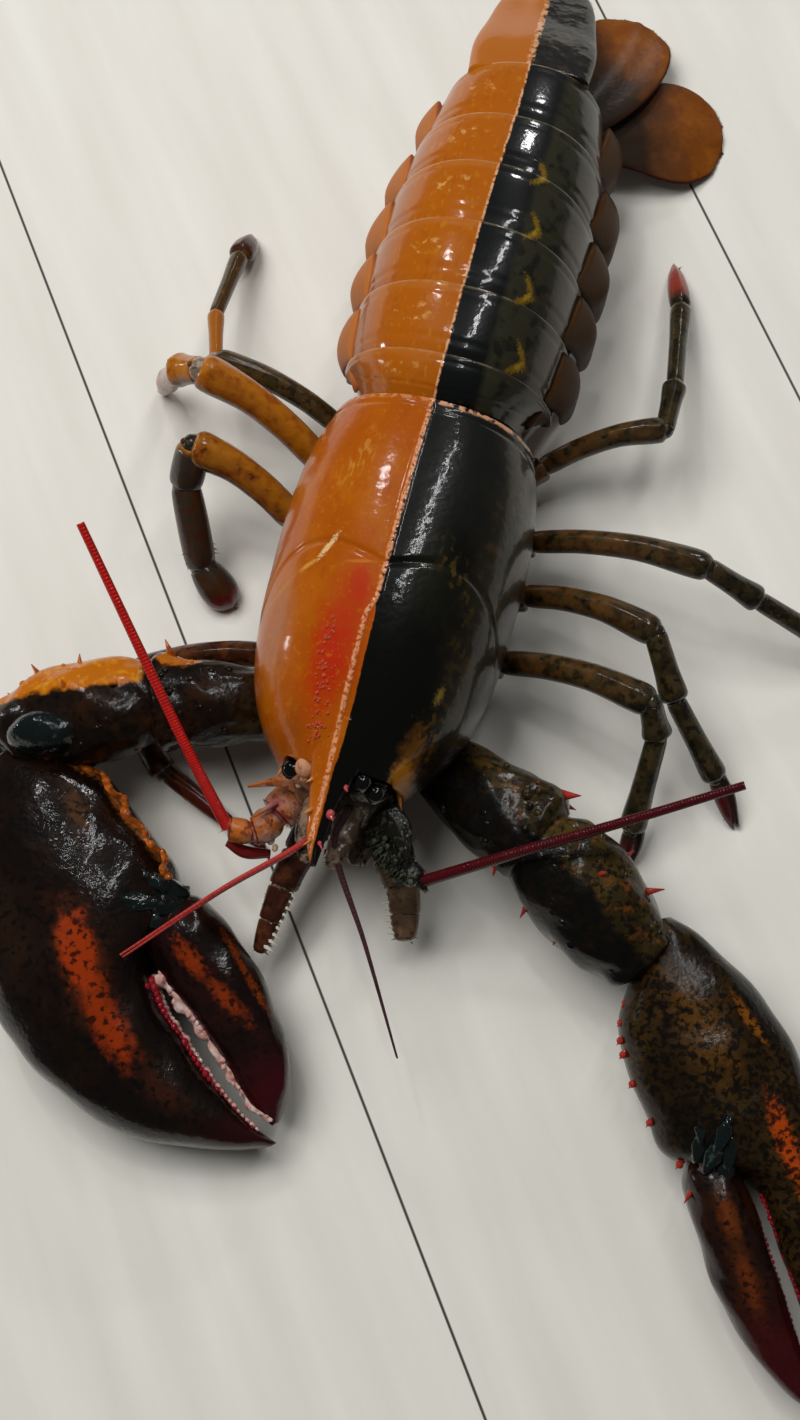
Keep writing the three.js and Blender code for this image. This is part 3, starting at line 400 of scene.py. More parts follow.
# The colours part a little to the left of the midline ahead of the neck groove
side = g.calc("MULTIPLY_ADD", g.both(ahead, g.ramp(g.y, -46, -30)), -0.5, g.stir(g.x, 1.5, 0.25))
side = g.calc("MULTIPLY_ADD", g.ramp(g.y, -40, -48), 0.55, side)
g.cloud("ae5d06", 14, 4.0, 0.35, 0.65, 0.7)
g.cloud("984304", 2.4, 6.0, 0.5, 0.72, 0.5, stretch=(1, 0.5, 1))
g.lay("8a4202", g.streak((-11, -33), (-11.5, -42), 6, rag=0.3, core=0), 0.6)
g.lay("a83802", g.streak((-5, -3), (-6.5, -35), 8.8, rag=0.35, core=0.3), 0.95)
g.lay("b02604", g.streak((-5, -3), (-3.5, -9), 4, rag=0.5, core=0.1), 0.7)
g.lay("b02204", g.streak((-6.5, -12), (-6.5, -32), 5.6, rag=0.5, core=0.15), 0.85)
g.cloud("b87008", 1.2, 5.0, 0.56, 0.7, 0.4)
# Painted wavy highlights on the orange right half behind the neck groove
g.lay("c08a3a", g.both(g.streak((-9, 34), (-15, 14), 5, rag=0.5, core=0),
                       g.ramp(g.noise(1.5, 6.0, (1.6, 0.5, 1)), 0.52, 0.64)), 0.6)
g.lay("844010", g.ramp(g.stir(g.z, 6, 6), 40, 20), 0.7)
# A painted sheen, pale brown, down the right flank ahead of the neck groove
g.lay("9a6644", g.streak((-21, -3), (-19, -30), 4, rag=0.3, core=0), 0.6)
g.lay("9c6c4a", g.ramp(g.stir(g.z, 5, 4), 24, 15), 0.6)
# The pale broken line of the neck groove, partly its own colour and partly a painted wet highlight, and the
# lighter crease that meets it
g.lay("e2c48c", g.streak((-12, 5), (-15, -1.4), 0.8, rag=0.9), 0.75)
g.lay("d09a44", g.streak((-14.6, -1), (-19, -4.4), 0.8, rag=0.9, core=0.2), 0.7)
g.lay("b87030", g.streak((-19, -4.4), (-25, -12), 0.9, rag=0.9, core=0), 0.6)
g.lay("c07820", g.streak((-2, -0.2), (-9, -1.4), 0.5, rag=0.8), 0.6)
dark_half = g.ramp(side, -0.05, 0.15)
g.lay("060605", dark_half)
g.lay("181917", g.both(dark_half, g.ramp(g.stir(g.y, 8, 6), 6, 24)), 0.8)
g.lay("1a1a0c", g.both(dark_half, g.streak((8, 10), (12, -8), 8, rag=0.4, core=0)), 0.7)
flank = g.both(dark_half, g.ramp(g.stir(g.x, 9, 5), 14, 25))
g.lay("2b2618", flank, 0.75)
g.cloud("4a3a26", 3, 6.0, 0.5, 0.7, 0.6, stretch=(1, 1, 0.4), within=flank)
mottle = g.both(dark_half, g.ramp(g.noise(1.5, 6.0, (1, 0.6, 1)), 0.5, 0.6))
g.lay("4a3a14", g.both(mottle, g.streak((9.7, 9), (19, -3), 3.6, rag=0.9, core=0)), 0.8)
g.lay("3c2e0c", g.both(mottle, g.streak((19, -2), (22, -30), 4.5, rag=0.8, core=0)), 0.8)
g.lay("6a4a0e", g.both(mottle, g.streak((18, -28), (15, -40), 4.5, rag=0.8, core=0)), 0.8)
g.lay("86702c", g.streak((18, -22), (17.2, -26), 1.1, rag=0.8, core=0.1), 0.8)
g.lay("7a4a0a", g.both(dark_half, g.streak((15.6, -32), (13.4, -42.5), 3.4, rag=0.5, core=0)), 0.8)
g.lay("c27c0a", g.both(dark_half, g.streak((14, -40), (13, -43.5), 2.8, rag=0.4, core=0.35)))
ridge = g.ramp(g.calc("ABSOLUTE", g.calc("MULTIPLY_ADD", ahead, -RIDGE_SHIFT, g.stir(g.x, 1.2, 0.35))), 0.75,
               0.35)
g.cloud("d8946a", 0.8, 2.0, 0.36, 0.56, 0.95, within=ridge)
rear_rim = g.both(g.ramp(g.stir(g.y, 2, 0.5), 39.9, 40.6), g.ramp(g.noise(1.4), 0.42, 0.54))
g.lay("dc9f7a", g.both(rear_rim, g.calc("MULTIPLY_ADD", dark_half, 0.45, 0.4)))
g.raise_by(g.noise(4, 2.0), 0.12).raise_by(g.noise(1.3, 4.0), 0.045)

ROSTRUM_ROWS = [[0, -33, 45.6, 8, 3.4], [-0.6, -43, 43.6, 5.6, 2.7], [-1.1, -51, 42.3, 3.4, 2],
                [-0.7, -59, 42.1, 2.2, 1.5], [0.3, -65.6, 42.4, 0.6, 0.5]]


def limb(form, rows, around=24, steps=8, power=2.0, crest=0.0, coat=0, marks=None, swell=None):
    """Adds a limb through rows of [x, y, z, half width, half height], its section square to its path.
    Power 2 makes it round and more makes it boxier, and crest is the height of a keel along its top."""
    last = len(rows) - 1
    at = path_through(rows)

    def place(t, turn):
        s = t * last
        x, y, z, wide, high = at(s)
        across, above = sides_of(at, s)
        grow = swell(t, turn) if swell else 0
        u = (wide + grow) * bow(np.cos(turn), power)
        v = (high + grow) * bow(np.sin(turn), power) + crest * np.exp(-((turn - math.pi / 2) / 0.25) ** 2)
        return np.stack([x, y, z]) + across * u + above * v

    skin(form, around, last * steps, place, coat, marks)


form = new_form()
skin(form, 150, len(ring_places) - 1, carapace_place)
limb(form, ROSTRUM_ROWS, 32, 14, 2.0, 0.7)
for side_sign in (1, -1):
    pointed = 1 if side_sign > 0 else 2
    for y, middle, half, out, thick in [(-47.5, -0.9, 4.2, 0.3, 1.1), (-54.4, -1, 3, 0.3, 1),
                                        (-61, -0.5, 1.9, 0.3, 0.5)]:
        root = (middle + side_sign * (half - 0.9), y + 0.4, 43.2)
        thorn(form, root, (middle + side_sign * (half + out), y - 1.2, 45), thick, pointed)
        if side_sign > 0:
            knob(form, root, (thick, thick * 1.15, thick * 1.1), pointed, 3)
    thorn(form, (side_sign * 12.5, -42, 31.5), (side_sign * 14.5, -47, 31.5), 1.1, 2)
# The red grains in a band on the right half, scattered wider towards the front
draw = np.random.default_rng(3)
for i in range(RED_GRAINS):
    y = -14 - 26 * draw.uniform(0, 1)
    wide, top, _ = carapace_form(np.array(y))
    spread = 0.35 + 0.045 * (-14 - y)
    x = np.interp(y, [-40, -33, -21, -14], [-6.9, -6.3, -7.5, -8]) + draw.normal(0, spread)
    size = draw.uniform(0.18, 0.42)
    surface = CARAPACE_MIDDLE + (top - CARAPACE_MIDDLE) * bow(1 - abs(x / wide) ** 2.15, 4.3)
    knob(form, (x, y, surface), (size, size * 1.3, size * 0.8), 3)
pink_spine = Glaze("pink_spine", "b4484c", rough=0.25, coat=1.0).finish
peach_spine = Glaze("peach_spine", "c8803e", rough=0.25).finish
red_grain = Glaze("red_grain", "b4442e", rough=0.2, coat=1.0).finish
settle(form, "carapace_shell", [split_shell.finish, pink_spine, peach_spine, red_grain], ["carapace"],
       "shell_split")

# Tail: six rings, each a hard arch over the back with a rolled rear edge that slides over the next
# ring, a rounded side lobe at each flank and, on the middle ones, a pair of swimmerets below.
tail_form = smooth_rows([
    [0, 0, 41.8, 50.4, 21, 28], [1, 0, 51.2, 52.4, 24.6, 29], [2, 0, 68.4, 52.6, 25.6, 29],
    [3, 0, 85.8, 51.4, 25.6, 28.5], [4, 0, 103.7, 47.9, 25.2, 27], [5, 0, 120.3, 42.9, 24, 24],
    [6, -0.6, 139.4, 36.6, 20, 18], [7, -1.6, 156, 28, 16, 8]])
# How far below the back each ring's lobes reach, and how far apart their tips are
LOBES = [[30, 22.4], [41, 27.4], [41.5, 28.2], [39.5, 28.2], [35, 27.2], [28, 24]]
# Places along a ring and how far its surface stands out there, with the rear edge rolled under
ARCH_PLACES = np.concatenate([np.linspace(0, 1.05, 40), [1.065, 1.065, 1.04, 0.96]])
ARCH_SWELL = np.concatenate([np.interp(np.linspace(0, 1.05, 40), [0, 0.3, 0.8, 1.05], [-1.1, 0, 0.4, 0.5]),
                             [0.3, -0.05, -0.5, -1]])


def tail_point(s, x, down):
    """A point of the tail: s counts its joints, x is across it and down is below the line of the back"""
    across, above = sides_of(tail_form, s)
    return np.stack(tail_form(s)[:3]) + across * x - above * down


def tail_arch(form, number):
    rows = np.linspace(0, 1, len(ARCH_PLACES))

    def measure(t):
        place = np.interp(t, rows, ARCH_PLACES)
        swell = np.interp(t, rows, ARCH_SWELL) - 0.2 * np.exp(-((place - 0.3) / 0.05) ** 2)
        return number + place, swell - 0.08 * np.exp(-((place - 0.93) / 0.03) ** 2)

    def place(t, turn):
        s, swell = measure(t)
        wide, depth = tail_form(s)[3:]
        arch = depth - (depth + swell) * bow(np.sin(turn), 2.25)
        down = np.where(turn > math.pi, depth - 2.4 * np.sin(turn), arch)
        return tail_point(s, (wide + swell) * bow(np.cos(turn), 2.25), down)

    skin(form, 112, len(ARCH_PLACES) - 1, place, 0, {
        "across": lambda t, turn: tail_form(measure(t)[0])[3] * bow(np.cos(turn), 2.25),
        "share": lambda t, turn: measure(t)[0] - number + 0 * turn})


def tail_lobe(form, number, side):
    reach, spread = LOBES[number]
    wide, depth = tail_form(np.array(number + 0.5))[3:]
    top, middle = depth * 0.6, wide - 1.6

    def place(t, turn):
        narrow = np.sqrt(np.maximum(1 - t ** 2.6, 0.0009))
        free = 1 - (1 - np.minimum(t * 2, 1)) ** 1.4
        s = number + 0.53 + 0.14 * free + 0.44 * narrow * np.cos(turn)
        flare = np.cos(turn) * narrow + 1.6 * free * np.sin(turn) ** 2 * narrow
        half = 0.75 + 0.6 * (1 - free)
        x = middle + (spread - middle) * free + flare + half * np.sin(turn) * np.minimum(narrow * 2.5, 1)
        return tail_point(s, side * x, top + (reach - top) * t)

    skin(form, 40, 28, place, 1 if side > 0 else 2, {
        "edge": lambda t, turn: np.maximum(t ** 3, np.abs(np.cos(turn)) ** 3)})


def swimmeret(form, number, side):
    wide, depth = tail_form(np.array(number + 0.5))[3:]

    def place(t, turn):
        swell = np.sqrt(np.maximum(1 - (2 * t - 1) ** 4, 0.01))
        s = number + 0.36 + 0.3 * t + 0.12 * swell * np.cos(turn)
        return tail_point(s, side * (wide * (0.5 + 0.1 * t) + 3.4 * swell * np.sin(turn)), depth - 1 + 14 * t)

    skin(form, 16, 10, place, 3)


# The yellow hooks of the left half: x and y of each one's corner
YELLOW_HOOKS = [(11.6, 104.4), (13.4, 89), (15.5, 72.4), (17.5, 56)]
tail_shell = Glaze("tail_shell", "a45405", rough=0.32, coat=0.65)
g = tail_shell
across, share = g.mark("across"), g.mark("share")
side = g.stir(across, 2.2, 0.3)
g.lay("ae620c", g.noise(9, 4.0), 0.5)
g.cloud("984a08", 2, 6.0, 0.52, 0.7, 0.5, stretch=(1, 0.5, 1))
g.cloud("ba7818", 1.3, 5.0, 0.58, 0.7, 0.5, stretch=(1, 0.5, 1))
g.lay("9a562c", g.ramp(g.stir(across, 4, 1.5), -18, -22), 0.75)
g.lay("b87636", g.both(g.ramp(share, 0.9, 0.98), g.noise(3)), 0.5)
# Painted wet highlights, pale speckles in a patch on each ring's right half
painted_wet_glint = g.both(g.ramp(g.stir(across, 5, 2.5), -4, -8), g.ramp(g.stir(across, 5, 2.5), -16, -12))
painted_wet_glint = g.both(painted_wet_glint, g.ramp(g.calc("ABSOLUTE", g.calc("SUBTRACT", g.stir(share, 5, 0.2), 0.62)), 0.2, 0.05))
g.cloud("d8a860", 1.6, 5.0, 0.54, 0.64, 0.6, stretch=(0.8, 0.8, 1), within=painted_wet_glint)
dark_half = g.ramp(side, 0, 0.25)
g.lay("0a0c0c", dark_half)
band = g.both(dark_half, g.ramp(g.stir(across, 4, 0.8), 8.5, 10.5))
g.lay("2e2c1e", band, 0.9)
g.cloud("08090a", 3, 6.0, 0.5, 0.66, 0.7, within=band)
g.lay("2e2114", g.both(dark_half, g.ramp(g.stir(across, 4, 1.5), 18.5, 21)), 0.9)
for x, y in YELLOW_HOOKS:
    for start, end, width in [((x - 2.6, y + 4.6), (x, y), 0.75), ((x, y), (x - 3.4, y - 3), 0.85)]:
        g.lay("785c12", g.streak(start, end, width * 1.4, (across, g.y), 0.9, 0.2), 0.9)
    # A painted highlight along each hook
    g.lay("a4821c", g.streak((x - 0.6, y + 0.8), (x - 1.6, y - 1.2), 0.8, (across, g.y), 0.8, 0.2), 0.7)
ridge = g.ramp(g.calc("ABSOLUTE", side), 0.4, 0.15)
g.cloud("d9a67c", 1, 2.0, 0.36, 0.56, 0.9, within=ridge)
rim = g.both(g.ramp(share, 1.01, 1.05), g.ramp(g.noise(2), 0.3, 0.6))
g.lay("a89478", g.both(rim, g.ramp(across, 13, 11)), 0.3)
g.raise_by(g.noise(1.6, 4.0), 0.035).raise_by(g.cells(0.9), 0.01)


def lobe_finish(name, inner, outer, rim):
    """Finish of a lobe or swimmeret, the rim another colour"""
    g = Glaze(name, inner, rough=0.5, coat=0.08, coat_rough=0.25, shine=0.05)
    g.lay(outer, g.noise(5, 4.0), 0.8)
    g.lay(rim, g.ramp(g.stir(g.mark("edge"), 3, 0.15), 0.55, 0.85), 0.85)
    g.raise_by(g.noise(1.4, 4.0), 0.05)
    return g.finish


brown_lobe = lobe_finish("brown_lobe", "40301c", "502e12", "1a100a")
pink_lobe = lobe_finish("pink_lobe", "b4703c", "aa602c", "a0583e")
swimmeret_skin = lobe_finish("swimmeret_skin", "8a4a20", "6e3414", "9a5a30")
for number in range(6):
    form = new_form()
    tail_arch(form, number)
    for side in (1, -1):
        tail_lobe(form, number, side)
        if 0 < number < 5:
            swimmeret(form, number, side)
    settle(form, f"tail_ring_{number + 1}", [tail_shell.finish, brown_lobe, pink_lobe, swimmeret_skin],
           [f"abdomen_{number + 1}"], "shell_split")

# Tail fan: the domed middle plate and two pairs of flat blades, hard shell edged with stiff hairs.
# The left blades are spread on the floor, and the right ones are folded below the middle plate.
telson_rows = [[-0.6, 138.4, 32.6, 15, 3.6], [-1.4, 150, 27.6, 15.6, 3.2], [-2, 161, 22.2, 14, 2.6],
               [-2.6, 171, 17.8, 12.2, 2], [-3, 177.6, 15, 9, 1.5], [-3.1, 180, 14, 3.4, 1]]
BLADES = [
    ("left_inner", [[9.4, 138, 15, 4, 2.2], [13, 147, 13.4, 9, 1.5], [15.8, 157, 11, 12, 1.3],
                    [18, 167, 8.8, 13, 1.1], [19.8, 175.6, 7, 10.6, 0.9], [20.6, 179.4, 6.2, 4, 0.6]],
     "shell_rust"),
    ("left_outer", [[12.6, 138, 12, 3.6, 2], [19, 142.6, 9.6, 9, 1.4], [27.4, 147.6, 6.6, 13.4, 1.3],
                    [37, 151.4, 3.8, 15, 1.1], [45, 153.6, 1.2, 11, 0.9], [48.6, 154.4, 0.5, 4, 0.7]],
     "shell_rust"),
    ("right_inner", [[-8.6, 138, 14, 4, 2.2], [-8.4, 147, 14, 6.4, 1.5], [-8, 158, 12, 7.6, 1.3],
                     [-8.4, 168, 9, 8, 1.1], [-9.4, 178, 6.2, 7, 0.9], [-10, 182, 5, 2.6, 0.6]],
     "shell_orange"),
    ("right_outer", [[-10.6, 138, 9.6, 3.6, 1.8], [-9.6, 147, 9, 6.4, 1.4], [-9, 158, 6.6, 7.6, 1.2],
                     [-9.6, 169, 3.6, 8, 1.1], [-11, 180, 1, 6.6, 0.9], [-11.6, 184, 0.5, 2.4, 0.7]],
     "shell_orange"),
]


def fringe(form, rows, first, length, count, coat):
    """Stiff hairs along the rounded end of a blade, from a place in its rows on"""
    at = path_through(rows)
    last = len(rows) - 1
    for side in (1, -1):
        for i in range(count):
            s = first + (last - first) * (1 - (1 - (i + 0.5) / count) ** 1.6)
            x, y, z, wide, _ = at(np.array(s))
            before, after = at(np.array(s - 0.05)), at(np.array(s + 0.05))
            ahead = (Vector(after[:3]) - Vector(before[:3])).normalized()
            out = Vector((ahead.y, -ahead.x, 0)).normalized() * side
            slope = (after[3] - before[3]) / (Vector(after[:3]) - Vector(before[:3])).length
            away = (out - ahead * slope).normalized()
            away = (away + ahead * 0.45).normalized()
            root = Vector((x, y, z)) + out * (wide - 0.3)
            tip = root + away * length * (0.85 + 0.15 * math.sin(5.1 * i))
            thorn(form, root, (tip.x, tip.y, max(tip.z - 0.2, 0.2)), 0.16, coat, 4)


telson_shell = Glaze("telson_shell", "aa5a08", rough=0.4, coat=0.7, coat_rough=0.04)
g = telson_shell
across = g.mark("across")
side = g.stir(across, 2.2, 0.3)
g.lay("b46a10", g.noise(8, 4.0), 0.5)
dark_half = g.ramp(side, 0, 0.25)
g.lay("050403", dark_half)
g.cloud("2e1e0c", 4, 5.0, 0.52, 0.64, 0.8, within=dark_half)
g.lay("d9a67c", g.both(g.ramp(g.calc("ABSOLUTE", side), 0.6, 0.3), g.ramp(g.noise(1.3, 2.0), 0.4, 0.6)), 0.8)
g.raise_by(g.noise(1.6, 4.0), 0.035)
g.raise_by(g.calc("MULTIPLY", dark_half, g.calc("SUBTRACT", g.noise(5.5, 2.0), 0.5)), 0.32)
blade_shell = Glaze("blade_shell", "743c08", rough=0.5, coat=0.06, coat_rough=0.2)
g = blade_shell
edge, far = g.mark("edge"), g.mark("far")
g.cloud("864c0c", 6, 5.0, 0.4, 0.7, 0.8)
g.cloud("5e300e", 2.2, 6.0, 0.52, 0.7, 0.5)
g.lay("4e2c12", g.ramp(g.stir(far, 6, 0.15), 0.72, 0.5), 0.7)
g.lay("1c150c", g.ramp(g.stir(far, 6, 0.12), 0.56, 0.34), 0.9)
g.lay("4a160c", g.ramp(g.stir(edge, 4, 0.03), 0.93, 0.975), 0.8)
g.lay("1a0c08", g.ramp(g.stir(edge, 4, 0.01), 0.975, 0.99), 0.9)
g.raise_by(g.noise(1.4, 4.0), 0.08)
hair = Glaze("stiff_hair", "5a3416", rough=0.5, coat=0.2).finish
HAIRS_TELSON, HAIRS_BLADE = 34, 40
BLADE_MARKS = {"edge": lambda t, turn: np.maximum(np.abs(np.cos(turn)), np.clip((t - 0.9) * 10, 0, 1)),
               "far": lambda t, turn: t + 0 * turn}
form = new_form()
limb(form, telson_rows, 64, 14, 2.6, 0.6, 0, {"across": lambda t, turn: 14 * np.cos(turn)})
fringe(form, telson_rows, 3.2, 1.2, HAIRS_TELSON, 1)
settle(form, "telson_plate", [telson_shell.finish, hair], ["telson"], "shell_split")
for word, rows, slot in BLADES:
    form = new_form()
    limb(form, rows, 64, 14, 2.4, 0.5, 0, BLADE_MARKS)
    fringe(form, rows, 3.0, 0.9, HAIRS_BLADE, 1)
    settle(form, f"blade_{word}", [blade_shell.finish, hair], [f"uropod_{word}"], slot)

# Head: below the rostrum a blunt face carries two stalked eyes, glossy black balls in soft collars,
# and the knuckled roots of the feelers. It is knobbly, bristly shell, mottled on the left half.
head_shell = Glaze("head_shell", "74492c", rough=0.4)
g = head_shell
g.cloud("a87850", 2.6, 5.0, 0.42, 0.62, 0.7)
g.cloud("3a2014", 1.7, 5.0, 0.55, 0.68, 0.8)
dark_half = g.ramp(g.stir(g.x, 3, 1.2), -1.5, 0.5)
g.lay("15140f", dark_half)
g.lay("5a4030", g.both(g.ramp(g.stir(g.x, 3, 2), 10, 5), g.ramp(g.noise(2.5, 4.0), 0.36, 0.56)), 0.85)
g.lay("4c5040", g.both(g.both(dark_half, g.ramp(g.x, 7, 12)), g.ramp(g.noise(1.3, 6.0), 0.54, 0.64)), 0.6)
g.raise_by(g.noise(1.2, 4.0), 0.3).raise_by(g.cells(0.9), 0.15)
form = new_form()
limb(form, [[0, -38, 28.5, 12, 8], [0, -44.3, 28.5, 12, 8], [0, -47, 28.5, 11.2, 7.4], [0, -50, 29, 8.6, 6.4],
            [0, -52, 29.5, 4.5, 4]], 64, 12, 2.6)
FACE_KNOBS = 90
draw = np.random.default_rng(7)
for i in range(FACE_KNOBS):
    across, up = draw.uniform(-9, 9), draw.uniform(-5, 5)
    reach = 1 - (across / 12) ** 2 - (up / 8) ** 2
    if reach < 0.1:
        continue
    y = -45.5 - 6 * math.sqrt(reach)
    size = draw.uniform(0.35, 0.9)
    knob(form, (across, y + 1.2, 28.7 + up), (size, size * 1.2, size), 0, 2)
settle(form, "face", [head_shell.finish], ["head_front"], "shell_olive")
form = new_form()
limb(form, [[0, -30, 12, 8, 5], [0, -36, 12.6, 9.4, 5.6], [0, -43, 14, 9, 5.6], [0, -46.5, 15.4, 5.6, 3.6]],
     48, 12, 2.4)
for i in range(5):
    for side in (1, -1):
        root = (side * (1.2 + 1.3 * i), -44.4 + 0.5 * i, 12.5 + 0.6 * i)
        thorn(form, root, (side * (0.9 + 1.2 * i), -49.2 + 0.7 * i, 12 + 0.6 * i), 0.9)
settle(form, "jaws", [head_shell.finish], ["mouthparts"], "shell_olive")
form = new_form()
limb(form, [[0, -29.3, 10, 7, 4.4], [0, -12, 9.9, 9, 4.6], [0, 8, 9.9, 10.6, 4.6], [0, 28, 9.9, 12, 4.6],
            [0, 39, 10.2, 11, 4.2]], 48, 20, 3)
settle(form, "breastplate", [head_shell.finish], ["sternum"], "shell_olive")


def mottled(name, first, *clouds, relief=None, **look):
    """A finish in one colour with clouds of others over it, and relief of a size and a depth"""
    g = Glaze(name, first, **look)
    for cloud in clouds:
        g.cloud(*cloud)
    if relief:
        g.raise_by(g.noise(relief[0]), relief[1])
    return g.finish


eye_ball = mottled("eye_ball", "040404", rough=0.05, coat=1.0, coat_rough=0.02)
eye_collar = mottled("eye_collar", "c08a66", ("8a5032", 1.6, 4.0, 0.5, 0.65, 0.7), relief=(0.8, 0.1),
                     rough=0.25)
dark_collar = mottled("dark_collar", "6e6a60", ("24221c", 1.2, 4.0, 0.48, 0.62, 0.9), rough=0.25)
for word, (x, y, z) in EYES:
    form = new_form()
    knob(form, (x, y, z), (2.3, 2.3, 2.1), 0, 4)
    # The swellings beside the ball: beige on the right, and on the left two more glossy black ones
    if word == "left":
        knob(form, (5.8, -45.4, 42.2), (2.2, 2.2, 2.1), 0, 4)
        knob(form, (9.1, -46.9, 40.6), (2.2, 2.2, 2.1), 0, 4)
        knob(form, (7.4, -47, 38.6), (1.5, 1.5, 1.4), 1, 3)
    else:
        knob(form, (-7, -44.8, 41.3), (2.4, 2.4, 2.2), 1, 4)
        knob(form, (-6.6, -46.9, 40), (1.3, 1.2, 1.2), 1, 3)
    limb(form, [[x * 0.45, -47, z - 3.8, 1.7, 1.7], [x * 0.7, -46.2, z - 1.9, 1.9, 1.9],
                [x * 0.9, y - 0.5, z - 0.7, 2.1, 2.1], [x * 0.96, y - 0.3, z - 0.3, 1.9, 1.9]],
         24, 6, coat=1)
    settle(form, f"stalked_eye_{word}", [eye_ball, dark_collar if word == "left" else eye_collar],
           [f"eye_{word}"], "eye_black")

# Feelers: each long one is a whip of fine hard rings on three stout knuckles with a pointed scale
# beside them, and each short one is a pair of soft ringed strands.
FEELERS = [
    ("left", [[9, -45.5, 25, 4.2, 4], [13.5, -52, 25, 4.4, 4.2], [17, -57.5, 25, 3.4, 3.2],
              [21.6, -60, 25, 2.4, 2.4]],
     [[11, -47.5, 30, 3, 1.2], [15, -51, 30.6, 2.8, 1], [18.5, -57, 30.6, 0.5, 0.4]],
     [[21.9, -60.3, 25], [41.9, -50.3, 34], [63.2, -39, 39], [84.9, -27.3, 45]], "feeler_maroon",
     "shell_olive"),
    ("right", [[-9, -45.5, 25, 4.2, 4], [-12.5, -52.5, 25, 4.4, 4.2], [-16.5, -58, 25.4, 3.2, 3],
               [-22.4, -59, 26, 2.6, 2.6]],
     [[-9.5, -46.6, 31, 2, 1.1], [-13.4, -47.3, 32.4, 1.2, 0.9], [-19.6, -50.2, 33, 0.25, 0.25]],
     [[-22.5, -58.9, 26], [-33.9, -46.3, 33], [-49.4, -27.9, 42], [-67.3, -6.4, 54]], "feeler_red",
     "shell_orange"),
]


def ringed(name, first, second, rings):
    """Feeler skin, its colour and relief in fine rings along it"""
    g = Glaze(name, first, rough=0.35, coat=0.5)
    beat = g.calc("SINE", g.calc("MULTIPLY", g.mark("far"), rings * 2 * math.pi))
    g.lay(second, g.ramp(beat, -0.2, 0.9), 0.35)
    g.lay(second, g.ramp(g.noise(2.5, 4.0), 0.5, 0.7), 0.5)
    g.raise_by(g.ramp(beat, -1, 1), 0.07)
    return g.finish


# Rings along a long and a short feeler, and the small thorns and bristles on the knuckles
WHIP_RINGS, STRAND_RINGS = 110, 70
KNUCKLE_BRISTLES = {"left": 420, "right": 26}
whip_finish = {"left": ringed("maroon_whip", "480a10", "2a060a", WHIP_RINGS),
               "right": ringed("red_whip", "b41a14", "8a1612", WHIP_RINGS)}
pale_flesh = Glaze("pale_flesh", "c8a88c", rough=0.25).finish
knuckle = Glaze("knuckle_orange", "a25a2c", rough=0.28)
knuckle.cloud("b07c64", 2.6, 5.0, 0.4, 0.58, 0.85)
knuckle.lay("b4601a", knuckle.ramp(knuckle.stir(knuckle.x, 3, 1), -16, -18), 0.8)
knuckle.cloud("6e2c1c", 1.9, 5.0, 0.54, 0.64, 0.8)
knuckle.lay("b0606a", knuckle.streak((-13, -51), (-13.2, -52.6), 2.2, rag=0.5, core=0.2), 0.7)
knuckle.raise_by(knuckle.noise(1.2), 0.35)
membrane = Glaze("purple_membrane", "6a4058", rough=0.25).finish
knuckle_rim = Glaze("knuckle_rim", "6e1614", rough=0.25).finish
